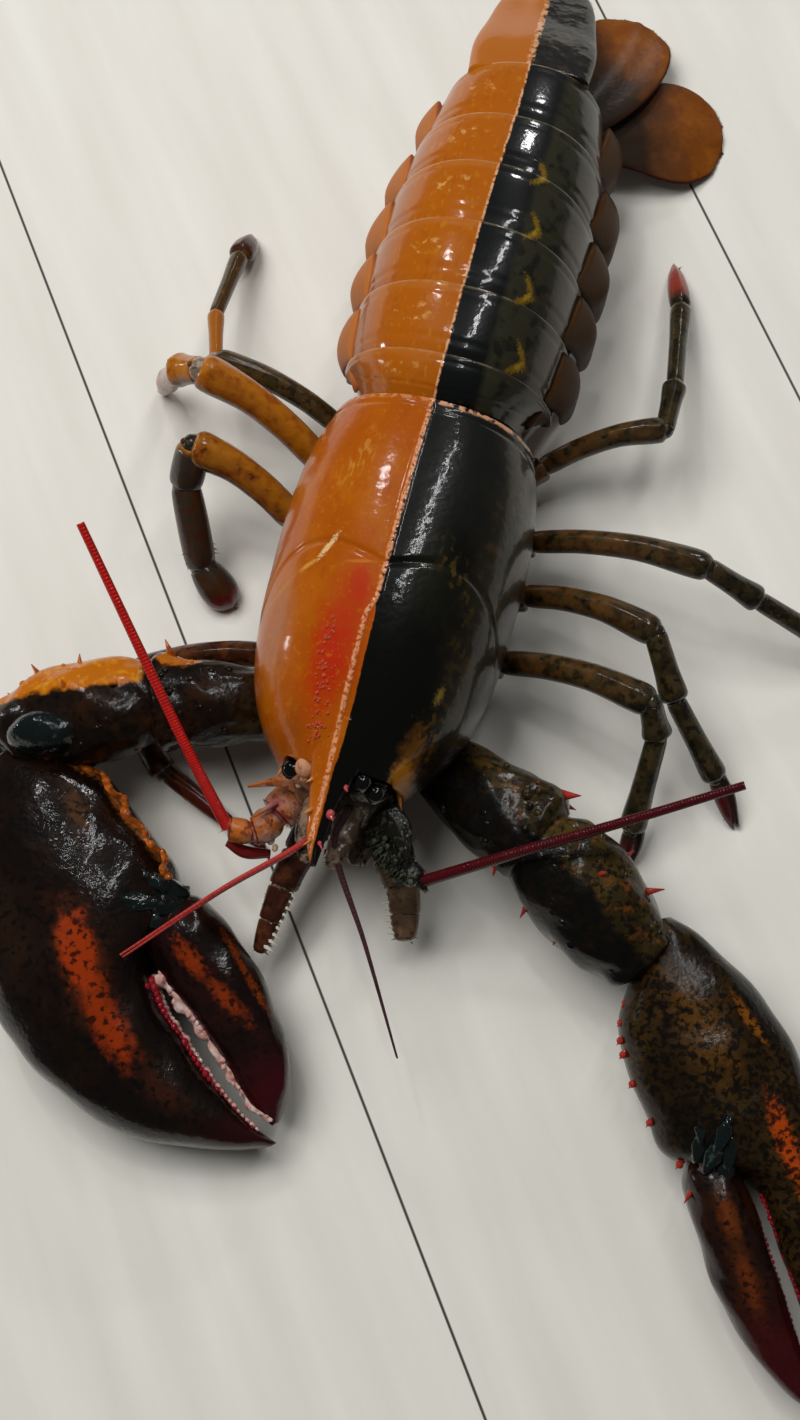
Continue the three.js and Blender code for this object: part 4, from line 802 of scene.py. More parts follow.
# Grey-green and dark bristles, which make a fuzzy tangle of the left knuckles
grey_bristle = Glaze("grey_bristle", "464c3c", rough=0.5, coat=0.4).finish
dark_bristle = Glaze("dark_bristle", "1a1a14", rough=0.5, coat=0.3).finish
far_mark = {"far": lambda t, turn: t + 0 * turn}
for word, base, scale, whip, whip_slot, base_slot in FEELERS:
    form = new_form()
    # Three knuckles, each narrow at its root and swollen at its far end
    at = path_through(base)
    for first, last in [(0, 1.15), (1.2, 2.1), (2.15, 3)]:
        rows = []
        for share, girth in [(0, 0.72), (0.25, 0.95), (0.6, 1.02), (0.9, 1.0), (1, 0.75)]:
            x, y, z, wide, high = at(np.array(first + (last - first) * share))
            rows.append([x, y, z, wide * girth, high * girth])
        limb(form, rows, 32, 6)
    limb(form, [[*row[:3], row[3] * 0.7, row[4] * 0.7] for row in base], 24, 6, coat=1)
    limb(form, scale, 32, 8, 2.0, 0.3)
    if word == "left":
        thorn(form, base[1][:3], (base[1][0] * 1.25, base[1][1] - 6, base[1][2] + 3.5), 1.2)
    else:
        thorn(form, (-13.6, -52, 29.6), (-17.6, -56.8, 30.4), 0.9)
        # The dark red lower edge of the last knuckle, and pale knobs beside it
        limb(form, [[-22.6, -61.4, 22, 0.9, 1], [-18, -62.4, 21.4, 1.5, 1.4], [-12.8, -61.2, 20, 1, 1]], 16,
             8, coat=2)
        for spot, size in [((-12.8, -58.9, 24), 0.9), ((-11.6, -60.2, 23), 0.7), ((-8.2, -47.6, 36.6), 0.8)]:
            knob(form, spot, (size, size * 1.3, size), 4, 3)
    # A rim round the far end of each knuckle, red on the right and dark on the left
    for place in (1.1, 2.04, 2.94):
        before, after = at(np.array(place - 0.06)), at(np.array(place + 0.03))
        rows = [[*before[:3], *(before[3:] * 0.9)], [*((before[:3] + after[:3]) / 2), *(before[3:] * 1.06)],
                [*after[:3], *(after[3:] * 0.86)]]
        limb(form, rows, 32, 4, coat=2)
    for i in range(KNUCKLE_BRISTLES[word]):
        x, y, z, wide, high = at(np.array(draw.uniform(0.0, 2.9)))
        turn = draw.uniform(-0.3, math.pi + 0.3)
        out = Vector((math.cos(turn) * wide, -0.5 * wide + draw.uniform(-1, 1), math.sin(turn) * high))
        root = Vector((x, y, z)) + out * 0.9
        tip = root + out.normalized() * draw.uniform(0.5, 1.3) + Vector((draw.uniform(-0.5, 0.5), -0.5, 0))
        if tip.z < 36:
            thorn(form, root, tip, draw.uniform(0.16, 0.34), 3 + i % 2 if word == "left" else 0, 5)
        if word == "left" and i % 3 == 0:
            size = draw.uniform(0.3, 0.8)
            knob(form, root, (size, size, size * 0.8), 3 + i % 2, 2)
    shell, rim, flesh = ((knuckle.finish, knuckle_rim, pale_flesh) if word == "right" else
                         (head_shell.finish, dark_bristle, dark_bristle))
    settle(form, f"knuckles_{word}", [shell, membrane, rim, grey_bristle, flesh], [f"antenna_base_{word}"],
           base_slot)
    form = new_form()
    limb(form, [[*spot, 1.4 - 0.15 * i, 1.4 - 0.15 * i] for i, spot in enumerate(whip)], 16, 130,
         marks=far_mark)
    settle(form, f"whip_{word}", [whip_finish[word]], [f"antenna_{word}"], whip_slot)

STRANDS = [("left", [[3.4, -50, 34.5], [2.9, -59.5, 34], [13.9, -77.1, 28], [25.9, -97.8, 18]],
            "shell_brown"),
           ("right", [[-3.4, -50, 35], [-2.5, -58, 35.6], [-18.7, -74.3, 36], [-35.8, -92.8, 35]],
            "feeler_red")]
strand_finish = {"left": ringed("brown_strand", "4a2c30", "2a1618", STRAND_RINGS),
                 "right": ringed("red_strand", "b23a34", "8c2020", STRAND_RINGS)}
for word, path, slot in STRANDS:
    form = new_form()
    for drop, thick in ((0, 1), (1.0, 0.8)):
        rows = [[x, y, z - drop * i, girth * thick, girth * thick] for i, ((x, y, z), girth) in
                enumerate(zip(path, (1.0, 0.8, 0.5, 0.25)))]
        limb(form, rows, 14, 60, marks=far_mark)
    settle(form, f"strands_{word}", [strand_finish[word]], [f"antennule_{word}"], slot)

# Jaw legs: a pair of short leg-like jaws of hard shell below the head, toothed and bristly along the
# inner edge, with soft skin between their lengths. The fuzzy roots of the short feelers stand above.
JAW_LEGS = [("left", 1, [[5.5, -42, 11.5], [11, -52, 12.5], [17.3, -60, 12], [20.8, -71.5, 9.5]]),
            ("right", -1, [[-5.5, -42, 11.5], [-7, -55, 12.5], [-9.4, -67, 11], [-11, -82, 8.5]])]
FUZZ_HAIRS, MOUTH_BRISTLES, JAW_TEETH, JAW_BRISTLES = 110, 90, 9, 60
JAW_GIRTHS = {"left": (3.6, 3.9, 4, 2.8), "right": (3.6, 3.9, 3.3, 1.9)}
jaw_shell = {"left": mottled("jaw_beige", "4e3a2a", ("7a6048", 4, 4.0, 0.42, 0.66, 0.8),
                             ("241810", 2.2, 5.0, 0.52, 0.7, 0.7), relief=(1.2, 0.15), rough=0.35),
             "right": mottled("jaw_brown", "36170c", ("5c301a", 4, 4.0, 0.42, 0.66, 0.8),
                              ("160a06", 2.2, 5.0, 0.52, 0.7, 0.7), relief=(1.2, 0.15), rough=0.35)}
jaw_web = mottled("jaw_web", "4a392c", ("8c7662", 2.4, 5.0, 0.44, 0.6, 0.8), relief=(1.4, 0.3), rough=0.35)
white_tooth = Glaze("white_tooth", "d8d0c0", rough=0.3).finish
for word, side, path in JAW_LEGS:
    form = new_form()
    at = path_through([[*spot, girth] for spot, girth in zip(path, JAW_GIRTHS[word])])
    for first, last in [(0, 1.25), (1.3, 1.95), (2.0, 2.5), (2.52, 3)]:
        rows = []
        ends = [(0.9, 1.03), (1, 0.95)] if last < 3 else [(0.86, 0.84), (0.96, 0.6), (1, 0.3)]
        for share, girth in [(0, 0.94), (0.1, 1), (0.5, 0.98), *ends]:
            x, y, z, wide = at(np.array(first + (last - first) * share))
            rows.append([x, y, z, wide * girth, wide * girth * 0.8])
        limb(form, rows, 28, 5, 2.3)
    # The soft skin that shows between the joints, and the dark fleshy roots beside the mouth
    rows = []
    for s in (0, 1, 2, 2.9):
        x, y, z, wide = at(np.array(s))
        rows.append([x, y, z, wide * 0.85, wide * 0.66])
    limb(form, rows, 20, 10, coat=1)
    limb(form, [[side * 3.6, -38, 15, 3.4, 3.6], [side * 4.4, -48, 17, 4.2, 4],
                [side * 5.6, -54, 16.5, 3.8, 3.4], [side * 6.4, -58, 15, 2, 2]], 32, 8, coat=1)
    # The fuzzy, knuckled root of the short feeler, below the rostrum
    root_rows = [[side * 3.4, -44, 31, 2.6, 2.6], [side * 3.8, -50, 31.6, 3, 2.8],
                 [side * 3.6, -56, 32.2, 2.8, 2.5], [side * 3.2, -61, 32.8, 2.1, 1.9],
                 [side * 3, -63.4, 33, 0.9, 0.9]]
    limb(form, root_rows, 28, 8, coat=1, swell=lambda t, turn: 0.2 * np.sin(31 * t + 2 * np.sin(3 * turn)))
    root_at, fuzz = path_through(root_rows), np.random.default_rng(11)
    for i in range(FUZZ_HAIRS):
        x, y, z, wide, high = root_at(np.array(fuzz.uniform(0.6, 3.6)))
        turn = fuzz.uniform(-0.2, math.pi + 0.2)
        out = Vector((math.cos(turn) * wide, -0.3 * wide, math.sin(turn) * high))
        root = Vector((x, y, z)) + out * 0.85
        thorn(form, root, root + out.normalized() * fuzz.uniform(0.4, 1.0), 0.2, 1 + 2 * (i % 2), 5)
    for i in range(MOUTH_BRISTLES):
        x, y, z = side * draw.uniform(1, 8.5), draw.uniform(-57, -48), draw.uniform(18, 21)
        tip = (x + draw.uniform(-1, 1), y - draw.uniform(1.5, 3), z + draw.uniform(-1, 0.6))
        thorn(form, (x, y, z - 2), tip, 0.3, 1 + 2 * (i % 3 == 0), 5)
    for i in range(JAW_TEETH):
        x, y, z, wide = at(np.array(2.05 + 0.85 * i / (JAW_TEETH - 1)))
        root = (x - side * wide * 0.75, y, z + 1)
        thorn(form, root, (x - side * (wide * 0.8 + 2), y - 0.8, z + 1.3), 0.7, 2, 6)
    for i in range(JAW_BRISTLES):
        x, y, z, wide = at(np.array(draw.uniform(1.0, 2.95)))
        turn = draw.uniform(0, 2 * math.pi)
        out = Vector((math.cos(turn) * wide, -0.4 * wide, math.sin(turn) * wide * 0.8))
        root = Vector((x, y, z)) + out * 0.85
        thorn(form, root, root + out.normalized() * draw.uniform(0.5, 1.1), 0.2, 3, 5)
    settle(form, f"jaw_leg_{word}", [jaw_shell[word], jaw_web, white_tooth, dark_bristle],
           [f"maxilliped_{word}"], "shell_brown")

# Walking legs: four jointed pairs of glossy tube, narrow and dark at each joint, the first two
# pairs ending in small pincers and the last two in single points. They stand on their tips.
WALKING_LEGS = [
    ("left_2", [9, -8, 9.4], [27, -3, 13.4], [62.2, -8.7, 27], [65.6, -14.1, 21], [65.1, -33.4, 7],
     [65, -41.4, 0.4], 3.3, True, "olive_leg"),
    ("left_3", [10, 7, 9.4], [28.6, 14.4, 13.6], [59.8, 8.1, 26], [67.8, -4.2, 19], [81.3, -17, 8],
     [88.1, -25.9, 0.4], 3.2, True, "olive_leg"),
    ("left_4", [10.6, 20, 9.4], [27, 28, 13.4], [68.4, 27.1, 24], [81.5, 24.8, 17], [105.6, 20.4, 6],
     [114.9, 17.4, 0.4], 3.1, False, "olive_leg"),
    ("left_5", [11, 32, 9.4], [25, 48.5, 11], [51.5, 60.6, 20], [51.4, 74.2, 17], [48.5, 100.4, 7],
     [44.1, 115.6, 0.4], 2.8, False, "red_toed_leg"),
    ("right_2", [-9, -8, 9.4], [-27, -13, 9.4], [-58, -24, 5.4], [-60, -31.5, 4.6], [-45, -45.5, 4.2],
     [-17, -57.5, 0.6], 3.4, True, "brown_leg"),
    ("right_3", [-10, 7, 9.4], [-30, 20.5, 13], [-55.4, 27.6, 27], [-56.4, 20.4, 20], [-50, 5.6, 7],
     [-41.4, -0.6, 0.4], 4, True, "rust_leg"),
    ("right_4", [-10.6, 20, 9.4], [-28, 36.8, 13], [-58, 44.9, 32], [-64.5, 45.9, 27], [-71, 49.8, 10],
     [-74.2, 51.3, -0.2], 4, False, "orange_leg"),
    ("right_5", [-11, 32, 9.4], [-26, 47.5, 11], [-57.9, 53, 21], [-62.8, 67.7, 16], [-63.8, 89.3, 7],
     [-63.6, 98.6, 0.4], 2.9, False, "mixed_leg"),
]
LEG_SLOTS = {"right_2": "shell_brown", "right_3": "shell_rust", "right_4": "shell_orange",
             "right_5": "shell_rust"}


def leg_finish(name, first, clouds, spots, toe):
    """Leg shell: clouded and spotted, its toe end another colour. Far runs from 0 at the hip to 6 at
    the toe, and above is 1 along the upper side"""
    g = Glaze(name, first, rough=0.3)
    g.far, g.above = g.mark("far"), g.mark("above")
    g.cloud(clouds, 4, 5.0, 0.42, 0.6, 0.85).cloud(spots, 1.7, 6.0, 0.5, 0.62, 0.85)
    g.lay(toe, g.ramp(g.stir(g.far, 3, 0.1), 5.15, 5.4), 0.9)
    g.raise_by(g.noise(1.3, 4.0), 0.12)
    leg_finishes[name] = g.finish
    return g


leg_finishes = {}
leg_finish("brown_leg", "34190b", "562e10", "160b07", "4a1612")
for name, toe in (("olive_leg", "4a1216"), ("red_toed_leg", "8e3426")):
    g = leg_finish(name, "241e10", "3e321a", "0e0c08", toe)
    g.cloud("6a441e", 3, 5.0, 0.38, 0.54, 0.85, within=g.ramp(g.stir(g.far, 5, 0.4), 3, 1.8))
    # Painted shade along the underside of the leg
    g.lay("16130c", g.ramp(g.stir(g.above, 3, 0.15), 0.35, 0.05), 0.7)
g = leg_finish("rust_leg", "8a4c0c", "7a3a0c", "4a240c", "240e0a")
# Painted light and shade: lighter clouds along the top of the leg and darker underneath
g.cloud("a86a14", 3, 4.0, 0.3, 0.6, 0.7, within=g.above)
g.lay("3a220e", g.ramp(g.stir(g.above, 3, 0.15), 0.45, 0.1), 0.8)
g.lay("262520", g.ramp(g.stir(g.far, 4, 0.2), 2.9, 3.3), 0.95)
g.cloud("3a200e", 3, 5.0, 0.4, 0.6, 0.85, within=g.ramp(g.far, 3.8, 4.2))
g.lay("5e0e10", g.ramp(g.stir(g.far, 3, 0.1), 5.45, 5.65), 0.9)
g = leg_finish("orange_leg", "985208", "8c460c", "7a3c0c", "6a2a1c")
# Painted light and shade: lighter clouds along the top of the leg and darker underneath
g.cloud("b87418", 3, 4.0, 0.3, 0.6, 0.7, within=g.above)
g.lay("4a2c10", g.ramp(g.stir(g.above, 3, 0.15), 0.4, 0.05), 0.75)
g.lay("9c644c", g.ramp(g.stir(g.far, 3, 0.2), 3.6, 4.2), 0.75)
g.cloud("30201a", 3, 4.0, 0.5, 0.62, 0.8, within=g.ramp(g.far, 3.7, 4.1))
g.lay("6a1a18", g.ramp(g.far, 5.2, 5.6), 0.8)
g = leg_finish("mixed_leg", "3a2e16", "4c3a1c", "1c150b", "5a2a26")
g.lay("a05a0c", g.ramp(g.stir(g.far, 4, 0.1), 2.95, 3.1), 0.9)
g.lay("2c260f", g.ramp(g.stir(g.far, 3, 0.1), 3.95, 4.1), 0.92)
g.cloud("7a4a14", 2.4, 5.0, 0.6, 0.7, 0.6, within=g.ramp(g.far, 3.95, 4.1))
g.lay("3a1414", g.ramp(g.far, 4.95, 5.1), 0.8).lay("a8404a", g.ramp(g.far, 5.5, 5.8), 0.9)
joint_skin = mottled("joint_skin", "211c14", ("4c4436", 1.6, 4.0, 0.5, 0.65, 0.7), relief=(1.2, 0.1))
pale_joint = mottled("pale_joint", "7a6a5a", ("a89484", 1.6, 4.0, 0.45, 0.6, 0.8),
                     ("3a2c20", 1.2, 4.0, 0.56, 0.64, 0.8))
toe_hair = Glaze("toe_hair", "5a2018", rough=0.5, coat=0.2).finish
LEG_HAIRS = 46
# Half thickness of a leg's lengths next to the leg's own: three above the knee, two and the toe below
UPPER_GIRTHS = (1.12, 1.06, 1.04)
LOWER_GIRTHS = {"left_5": (0.96, 0.88, 0.95), "right_3": (1.06, 0.98, 1.16), "right_4": (0.96, 0.74, 0.6),
                "right_5": (0.66, 0.74, 1.1)}
USUAL_LOWER_GIRTHS = (0.96, 0.88, 0.6)
# Places along a length of leg and how thick it is there. The third right leg is plumper than the rest.
LENGTH_SWELLS = [(0.0, 0.7), (0.06, 0.86), (0.3, 0.9), (0.6, 0.96), (0.88, 1.1), (0.97, 1.04), (1.01, 0.76)]
PLUMP_SWELLS = [(0.0, 0.8), (0.1, 0.94), (0.4, 1.0), (0.75, 1.0), (0.95, 0.92), (1.01, 0.76)]
TOE_SWELLS = [(0.0, 0.75), (0.1, 1.0), (0.4, 1.02), (0.7, 0.78), (0.9, 0.4), (1.0, 0.14)]
BLUNT_TOE = [(0.0, 0.7), (0.15, 0.84), (0.45, 1.0), (0.72, 0.96), (0.9, 0.7), (1.0, 0.3)]


def between(a, b, share):
    return [p + (q - p) * share for p, q in zip(a, b)]


for word, hip, rise, knee, wrist, ankle, toe, girth, pincer, look in WALKING_LEGS:
    joints = [hip, between(hip, rise, 0.45), rise, knee, wrist, ankle, toe]
    girths = [girth * share for share in (*UPPER_GIRTHS, *LOWER_GIRTHS.get(word, USUAL_LOWER_GIRTHS))]
    upper, lower = new_form(), new_form()
    for i in range(6):
        form = upper if i < 3 else lower
        start, end = joints[i], joints[i + 1]
        rows = []
        plump = word == "right_3" and i > 2
        length_swells = PLUMP_SWELLS if plump else LENGTH_SWELLS
        toe_swells = BLUNT_TOE if plump else TOE_SWELLS
        for share, swell in length_swells if i < 5 else toe_swells:
            x, y, z = between(start, end, share)
            if i == 2:
                y, z = y + 1.8 * math.sin(math.pi * share), z + 1.8 * math.sin(math.pi * share)
            rows.append([x, y, z, girths[i] * swell, girths[i] * swell * 0.92])
        marks = {"far": lambda t, turn, i=i: i + t + 0 * turn,
                 "above": lambda t, turn: np.maximum(np.sin(turn), 0)}
        limb(form, rows, 28, 5, 2.0, 0.12 * girths[i], 0, marks)
        if i < 5:
            knob(form, end, [girths[i] * 0.74] * 3, 1, 3)
            # Two small bosses at the joint's ends, where the shell hinges
            for push in (0.5, -0.5):
                knob(form, (end[0] + push * girths[i], end[1], end[2] + 0.45 * girths[i]),
                     [girths[i] * 0.22] * 3, 0, 2)
    # Tufts of short stiff hairs on the toe and the joint above it
    for i in range(LEG_HAIRS):
        share = draw.uniform(-0.25, 0.85)
        x, y, z = between(ankle, toe, share) if share > 0 else between(ankle, wrist, -share)
        turn = draw.uniform(0, 2 * math.pi)
        thick = girths[5] * (0.9 - 0.5 * max(share, 0))
        out = Vector((math.cos(turn) * thick, math.cos(turn) * thick * 0.6, math.sin(turn) * thick))
        root = Vector((x, y, z)) + out * 0.8
        toward_toe = (Vector(toe) - Vector(ankle)).normalized()
        tip = root + out.normalized() * draw.uniform(0.5, 1.2) + toward_toe * 0.6
        if tip.z > 0.1:
            thorn(lower, root, tip, 0.17, 2, 4)
    if pincer:
        off = girth * 0.62
        rows = []
        for spot, out, wide in [(between(wrist, ankle, 0.86), 0.4, 0.5), (between(ankle, toe, 0.3), 1, 0.4),
                                (between(ankle, toe, 0.94), 0.7, 0.14)]:
            rows.append([spot[0] + off * out, spot[1], spot[2] + 0.3, girth * wide, girth * wide])
        limb(lower, rows, 20, 8, marks={"far": lambda t, turn: 4.8 + 1.2 * t + 0 * turn})
    slot = LEG_SLOTS.get(word, "shell_olive")
    between_joints = pale_joint if word in ("right_4", "right_5") else joint_skin
    settle(upper, f"leg_{word}_thigh", [leg_finishes[look], between_joints], [f"leg_{word}_upper"], slot)
    settle(lower, f"leg_{word}_shin", [leg_finishes[look], between_joints, toe_hair], [f"leg_{word}_lower"],
           slot)

# Claw arms: thick hard shell, knobbed and spined. The right arm ends in the broad crusher with
# rounded teeth and the left in the slender cutter with a saw edge. A soft dark skin shows at the joints.
MERUS_RIGHT = [[-10, -25, 10.5, 4.6, 4], [-18, -26.6, 14, 7, 5.4], [-26, -28, 18, 8.6, 7],
               [-36, -30.6, 20.4, 10, 8.4], [-45, -33, 21, 11, 9], [-49, -34.4, 21, 8, 6.6]]
CARPUS_RIGHT = [[-46, -33.6, 21, 8, 7], [-52, -35.4, 21, 10.8, 9.4], [-62, -39.4, 20.6, 12.2, 10.6],
                [-70.6, -43.8, 19.6, 12, 10.2], [-76.6, -48, 17.8, 9, 8.4], [-79, -50.6, 16.6, 5.6, 5.4]]
MERUS_LEFT = [[9.6, -25, 10.5, 4.6, 4], [16, -29, 14, 7, 5.4], [24, -33.6, 18, 9, 7],
              [34, -39, 20.4, 11, 8.4], [43, -42.6, 21, 11.6, 9], [47.4, -44.4, 21, 8, 6.6]]
CARPUS_LEFT = [[44.6, -43.4, 21, 8, 7], [49, -47, 21, 11.4, 9.4], [57, -52.6, 20.4, 12.8, 10.2],
               [66, -59.4, 18.6, 11.4, 9.4], [72, -63.4, 16.6, 8.6, 8], [74.4, -65, 15.8, 5.4, 5.4]]
SPINES_RIGHT = [[[-46, -23.4, 25], [-48.4, -20, 27], 1.6], [[-47, -42.4, 21], [-49, -46.4, 21.6], 1.5],
                [[-58, -29.6, 24], [-58.4, -26.2, 25.6], 1.6], [[-66, -31.8, 24], [-67, -27.6, 25.6], 1.7],
                [[-73, -36, 23.4], [-77.4, -32.4, 24.6], 2], [[-77.6, -41, 20], [-82, -39.4, 20.6], 1.8],
                [[-66, -38, 29.6], [-67.4, -36, 32.4], 1.5]]
SPINES_LEFT = [[[49, -33.4, 25], [52, -33, 26], 1.4], [[49, -34, 18], [51.6, -34.4, 17.4], 1.2],
               [[37, -50, 20], [37, -54.4, 20.6], 1.4], [[46, -58, 20], [45, -62, 20.4], 1.4],
               [[54, -62, 19], [53.4, -66, 19.4], 1.4], [[60, -50, 30], [61, -49.6, 31.6], 1],
               [[68.6, -50.6, 22], [74.4, -48.6, 23.4], 1.8], [[63, -45.2, 22], [66, -41.6, 23], 1.6]]
CRUSHER_PALM = [[-2, 1, 12, 6, 16.4], [5, -5, 20, 10, 15.4], [14, -10.3, 27.5, 13, 14.6],
                [28, -12, 34, 14.4, 13.9], [42, -12.6, 37, 14.4, 13.8], [50, -8, 37.8, 14, 13.6],
                [56, 1.5, 37.4, 13.2, 13.1], [64, 4.6, 36, 12, 12.5], [76, 4.6, 32, 10.4, 11.6],
                [87, 3.8, 25.3, 8.6, 10.8], [95.5, 2.4, 15.6, 6.6, 10], [101.5, 0.6, 7.2, 4, 9.4],
                [104.6, -0.8, 0.8, 0.8, 9]]
CRUSHER_FINGER = [[46, -9.6, -4, 3, 14.4], [48.5, -13.8, 0, 6.5, 14.4], [54, -16, 2.4, 9.2, 14.2],
                  [62.5, -17, 2, 9, 13.6], [76.7, -16.4, 0.6, 7.8, 12.6], [89, -13.5, 0.2, 6, 11.2],
                  [96.5, -9, -0.4, 4.2, 10.2], [101, -3.6, -1.8, 1, 9.2]]
CUTTER_PALM = [[-2, 2, 8.5, 6, 14.8], [3, -1, 12.2, 8, 14], [9, -7, 15.6, 10, 13],
               [16, -12, 18.6, 11.2, 12.4], [26, -13.9, 21, 11.8, 11.7], [36, -13.9, 22, 11.6, 11.4],
               [45, -13, 21.6, 11, 11.2], [51, -6, 20.6, 10.4, 11], [57, 0.9, 19.4, 9.6, 10.8],
               [66, 1.4, 16.8, 8.6, 10.6], [78, 0.4, 13.6, 7.2, 10.2], [88, -0.4, 10.6, 6, 9.6],
               [96, -1.4, 7, 4.4, 9.2], [102, -2.6, 2.6, 2.4, 9], [105, -3.2, -1.6, 0.7, 9]]
CUTTER_FINGER = [[47, -9, -3.5, 3, 12], [49.5, -12, -0.6, 5.5, 12], [55, -13.6, -0.4, 7.4, 11.8],
                 [63, -14.6, -0.8, 7.4, 11.4], [74, -15.4, -1.8, 6.6, 10.8], [86, -14.4, -3.2, 5.4, 10.2],
                 [95, -11.8, -4.4, 4, 9.6], [101, -9, -5.6, 2.4, 9.2], [105, -5.8, -4.8, 0.7, 9]]


def ripple(a, turn):
    """Low swellings of the heavy shell"""
    fade = np.clip((104 - a) / 30, 0, 1)
    return 0.35 * np.sin(0.31 * a + 1.3 * np.cos(2 * turn)) * np.sin(3 * turn + 0.11 * a) * fade


class Claw:
    """A claw is drawn in its own plane: a runs from wrist to tip, and c outward across it"""

    def __init__(self, wrist, tip, outward):
        self.start = Vector((*wrist, 0))
        self.along = (Vector((*tip, 0)) - self.start).normalized()
        self.out = Vector((-self.along.y, self.along.x, 0)) * outward

    def spot(self, a, c, z):
        x = self.start.x + self.along.x * a + self.out.x * c
        y = self.start.y + self.along.y * a + self.out.y * c
        return x, y, z

    def surface(self, rows, a, turn, lift=0.0):
        """Place across the claw and height of its surface, for rows of [a, inside, outside, half, z]"""
        inside, outside, half, z = smooth_rows(rows)(a)
        c = (inside + outside) / 2 + ((outside - inside) / 2 + lift) * bow(np.cos(turn), 2.2)
        return c, z + (half + lift) * bow(np.sin(turn), 2.2)

    def shell(self, form, rows, around, along):
        """Adds the shell, which carries the marks that its finish is laid by"""
        def a_of(t, turn):
            places = [row[0] for row in rows]
            return np.interp(t, np.linspace(0, 1, len(places)), places) + 0 * turn

        def place(t, turn):
            a = a_of(t, turn)
            return self.spot(a, *self.surface(rows, a, turn, ripple(a, turn)))

        skin(form, around, along, place, 0, {
            "along": a_of, "across": lambda t, turn: self.surface(rows, a_of(t, turn), turn)[0]})


def claw_finish(name, first, clouds, spots, freckle, coat, coat_rough, patches=(), edge=None):
    """Heavy shell, clouded and spotted, with streaks and a coloured tip where a claw has them"""
    g = Glaze(name, first, rough=0.28, coat=coat, coat_rough=coat_rough)
    pair = (g.mark("along"), g.mark("across"))
    g.lay(clouds, g.ramp(g.noise(9, 5.0), 0.42, 0.62), 0.7)
    for colour, start, end, width, core in patches:
        g.lay(colour, g.streak(start, end, width, pair, 0.6, core), 0.92)
    g.lay(spots, g.ramp(g.noise(freckle, 6.0), 0.52, 0.64), 0.85)
    if edge:
        colour, low, high = edge
        g.lay(colour, g.ramp(g.stir(pair[0], 8, 5), low, high), 0.85)
    g.raise_by(g.noise(5, 3.0), 0.3).raise_by(g.noise(1.2, 4.0), 0.1)
    return g


crusher_look = claw_finish("crusher_shell", "0e0705", "1a0d06", "060403", 1.6, 0.65, 0.05, [
    ("22140a", (20, 24), (50, 27), 8, 0.1), ("32160a", (74, 16.5), (90, 12), 5, 0),
    ("3a1a0a", (38, 11), (62, 17), 8.5, 0.2), ("983206", (41.5, 12), (58, 16.4), 5.4, 0.4),
    ("8e2e06", (56, 16.4), (74, 16.6), 5, 0.25), ("4a2e18", (14, -2.6), (26, 0.5), 3.6, 0),
    ("8a4a10", (6, -4.5), (14, -8.6), 1.8, 0.2), ("8a4a10", (14, -8.8), (42, -11.4), 1.5, 0.2)],
    ("30060a", 90, 104)).finish
crusher_finger_look = claw_finish("crusher_finger_shell", "130706", "240c08", "080403", 1.6, 0.65, 0.07, [
    ("8a3008", (57, -5.2), (66, -6.2), 2.6, 0.3), ("7c2c08", (66, -6.4), (81, -9.6), 2.7, 0.1),
    ("7a340e", (58, -14.8), (84, -14.2), 1.2, 0.3)], ("40080e", 84, 98)).finish
cutter_look = claw_finish("cutter_shell", "241809", "382810", "0a0806", 2, 0.25, 0.14, [
    ("543610", (10, 2), (34, 5), 8, 0), ("120d07", (30, -7), (46, -3), 7, 0),
    ("080706", (6, 14), (40, 24), 7, 0.2), ("080706", (40, 22), (80, 12), 3.6, 0.2),
    ("a23e0a", (42, 10.8), (60, 9.2), 2.9, 0.4), ("a4460c", (60, 9.2), (74, 8), 1.8, 0.3),
    ("7e4810", (18, 13), (32, 15), 1.8, 0.2), ("100c08", (38, -9), (48, -6), 4, 0.3)],
    ("300a0c", 90, 104)).cloud("0a0806", 1.3, 5.0, 0.5, 0.58, 0.85).finish
cutter_finger_look = claw_finish("cutter_finger_shell", "190b07", "2a1408", "0a0504", 1.6, 0.5, 0.12, [
    ("3e1c0b", (55, -7), (90, -11), 4, 0), ("66300e", (56, -7), (66, -8), 2.8, 0),
    ("622a0c", (68, -8.5), (82, -9.6), 2.6, 0)], ("3c0a0e", 74, 92)).finish
arm_brown = claw_finish("arm_brown", "140b06", "2e190b", "080504", 1.7, 0.4, 0.05)
g = arm_brown
orange_band = g.ramp(g.stir(g.calc("MULTIPLY_ADD", g.x, -0.36, g.y), 3, 1.6, 5.0), -14.6, -13.0)
orange_band = g.both(orange_band, g.both(g.ramp(g.z, 16, 21), g.ramp(g.stir(g.x, 4, 1.5), -50, -52)))
g.lay("b4640c", orange_band)
g.cloud("cc8c1a", 2.2, 5.0, 0.5, 0.66, 0.7, within=orange_band)
g.lay("b4640c", g.both(g.ramp(g.z, 18, 23), g.streak((-47, -24), (-42, -22.6), 3.2, rag=0.6)))
g.lay("34301e", g.both(g.ramp(g.stir(g.x, 5, 3), -32, -24), g.ramp(g.noise(3, 5.0), 0.4, 0.6)), 0.6)
arm_olive = claw_finish("arm_olive", "2a210d", "4c3a12", "0b0a07", 2, 0.35, 0.05)
g = arm_olive
g.cloud("6e3c10", 2.6, 6.0, 0.54, 0.68, 0.6)
g.cloud("0a0a08", 1.5, 5.0, 0.52, 0.6, 0.8)
g.lay("070707", g.ramp(g.stir(g.calc("MULTIPLY_ADD", g.x, 0.72, g.y), 5, 3), -10.5, -14), 0.92)
orange_knob = mottled("orange_knob", "a4520c", ("7a340c", 2.4, 5.0, 0.46, 0.62, 0.85),
                      ("2a1408", 1.8, 5.0, 0.58, 0.66, 0.6), relief=(1, 0.08), rough=0.25)
red_point = Glaze("red_point", "9c2c22", rough=0.25).finish
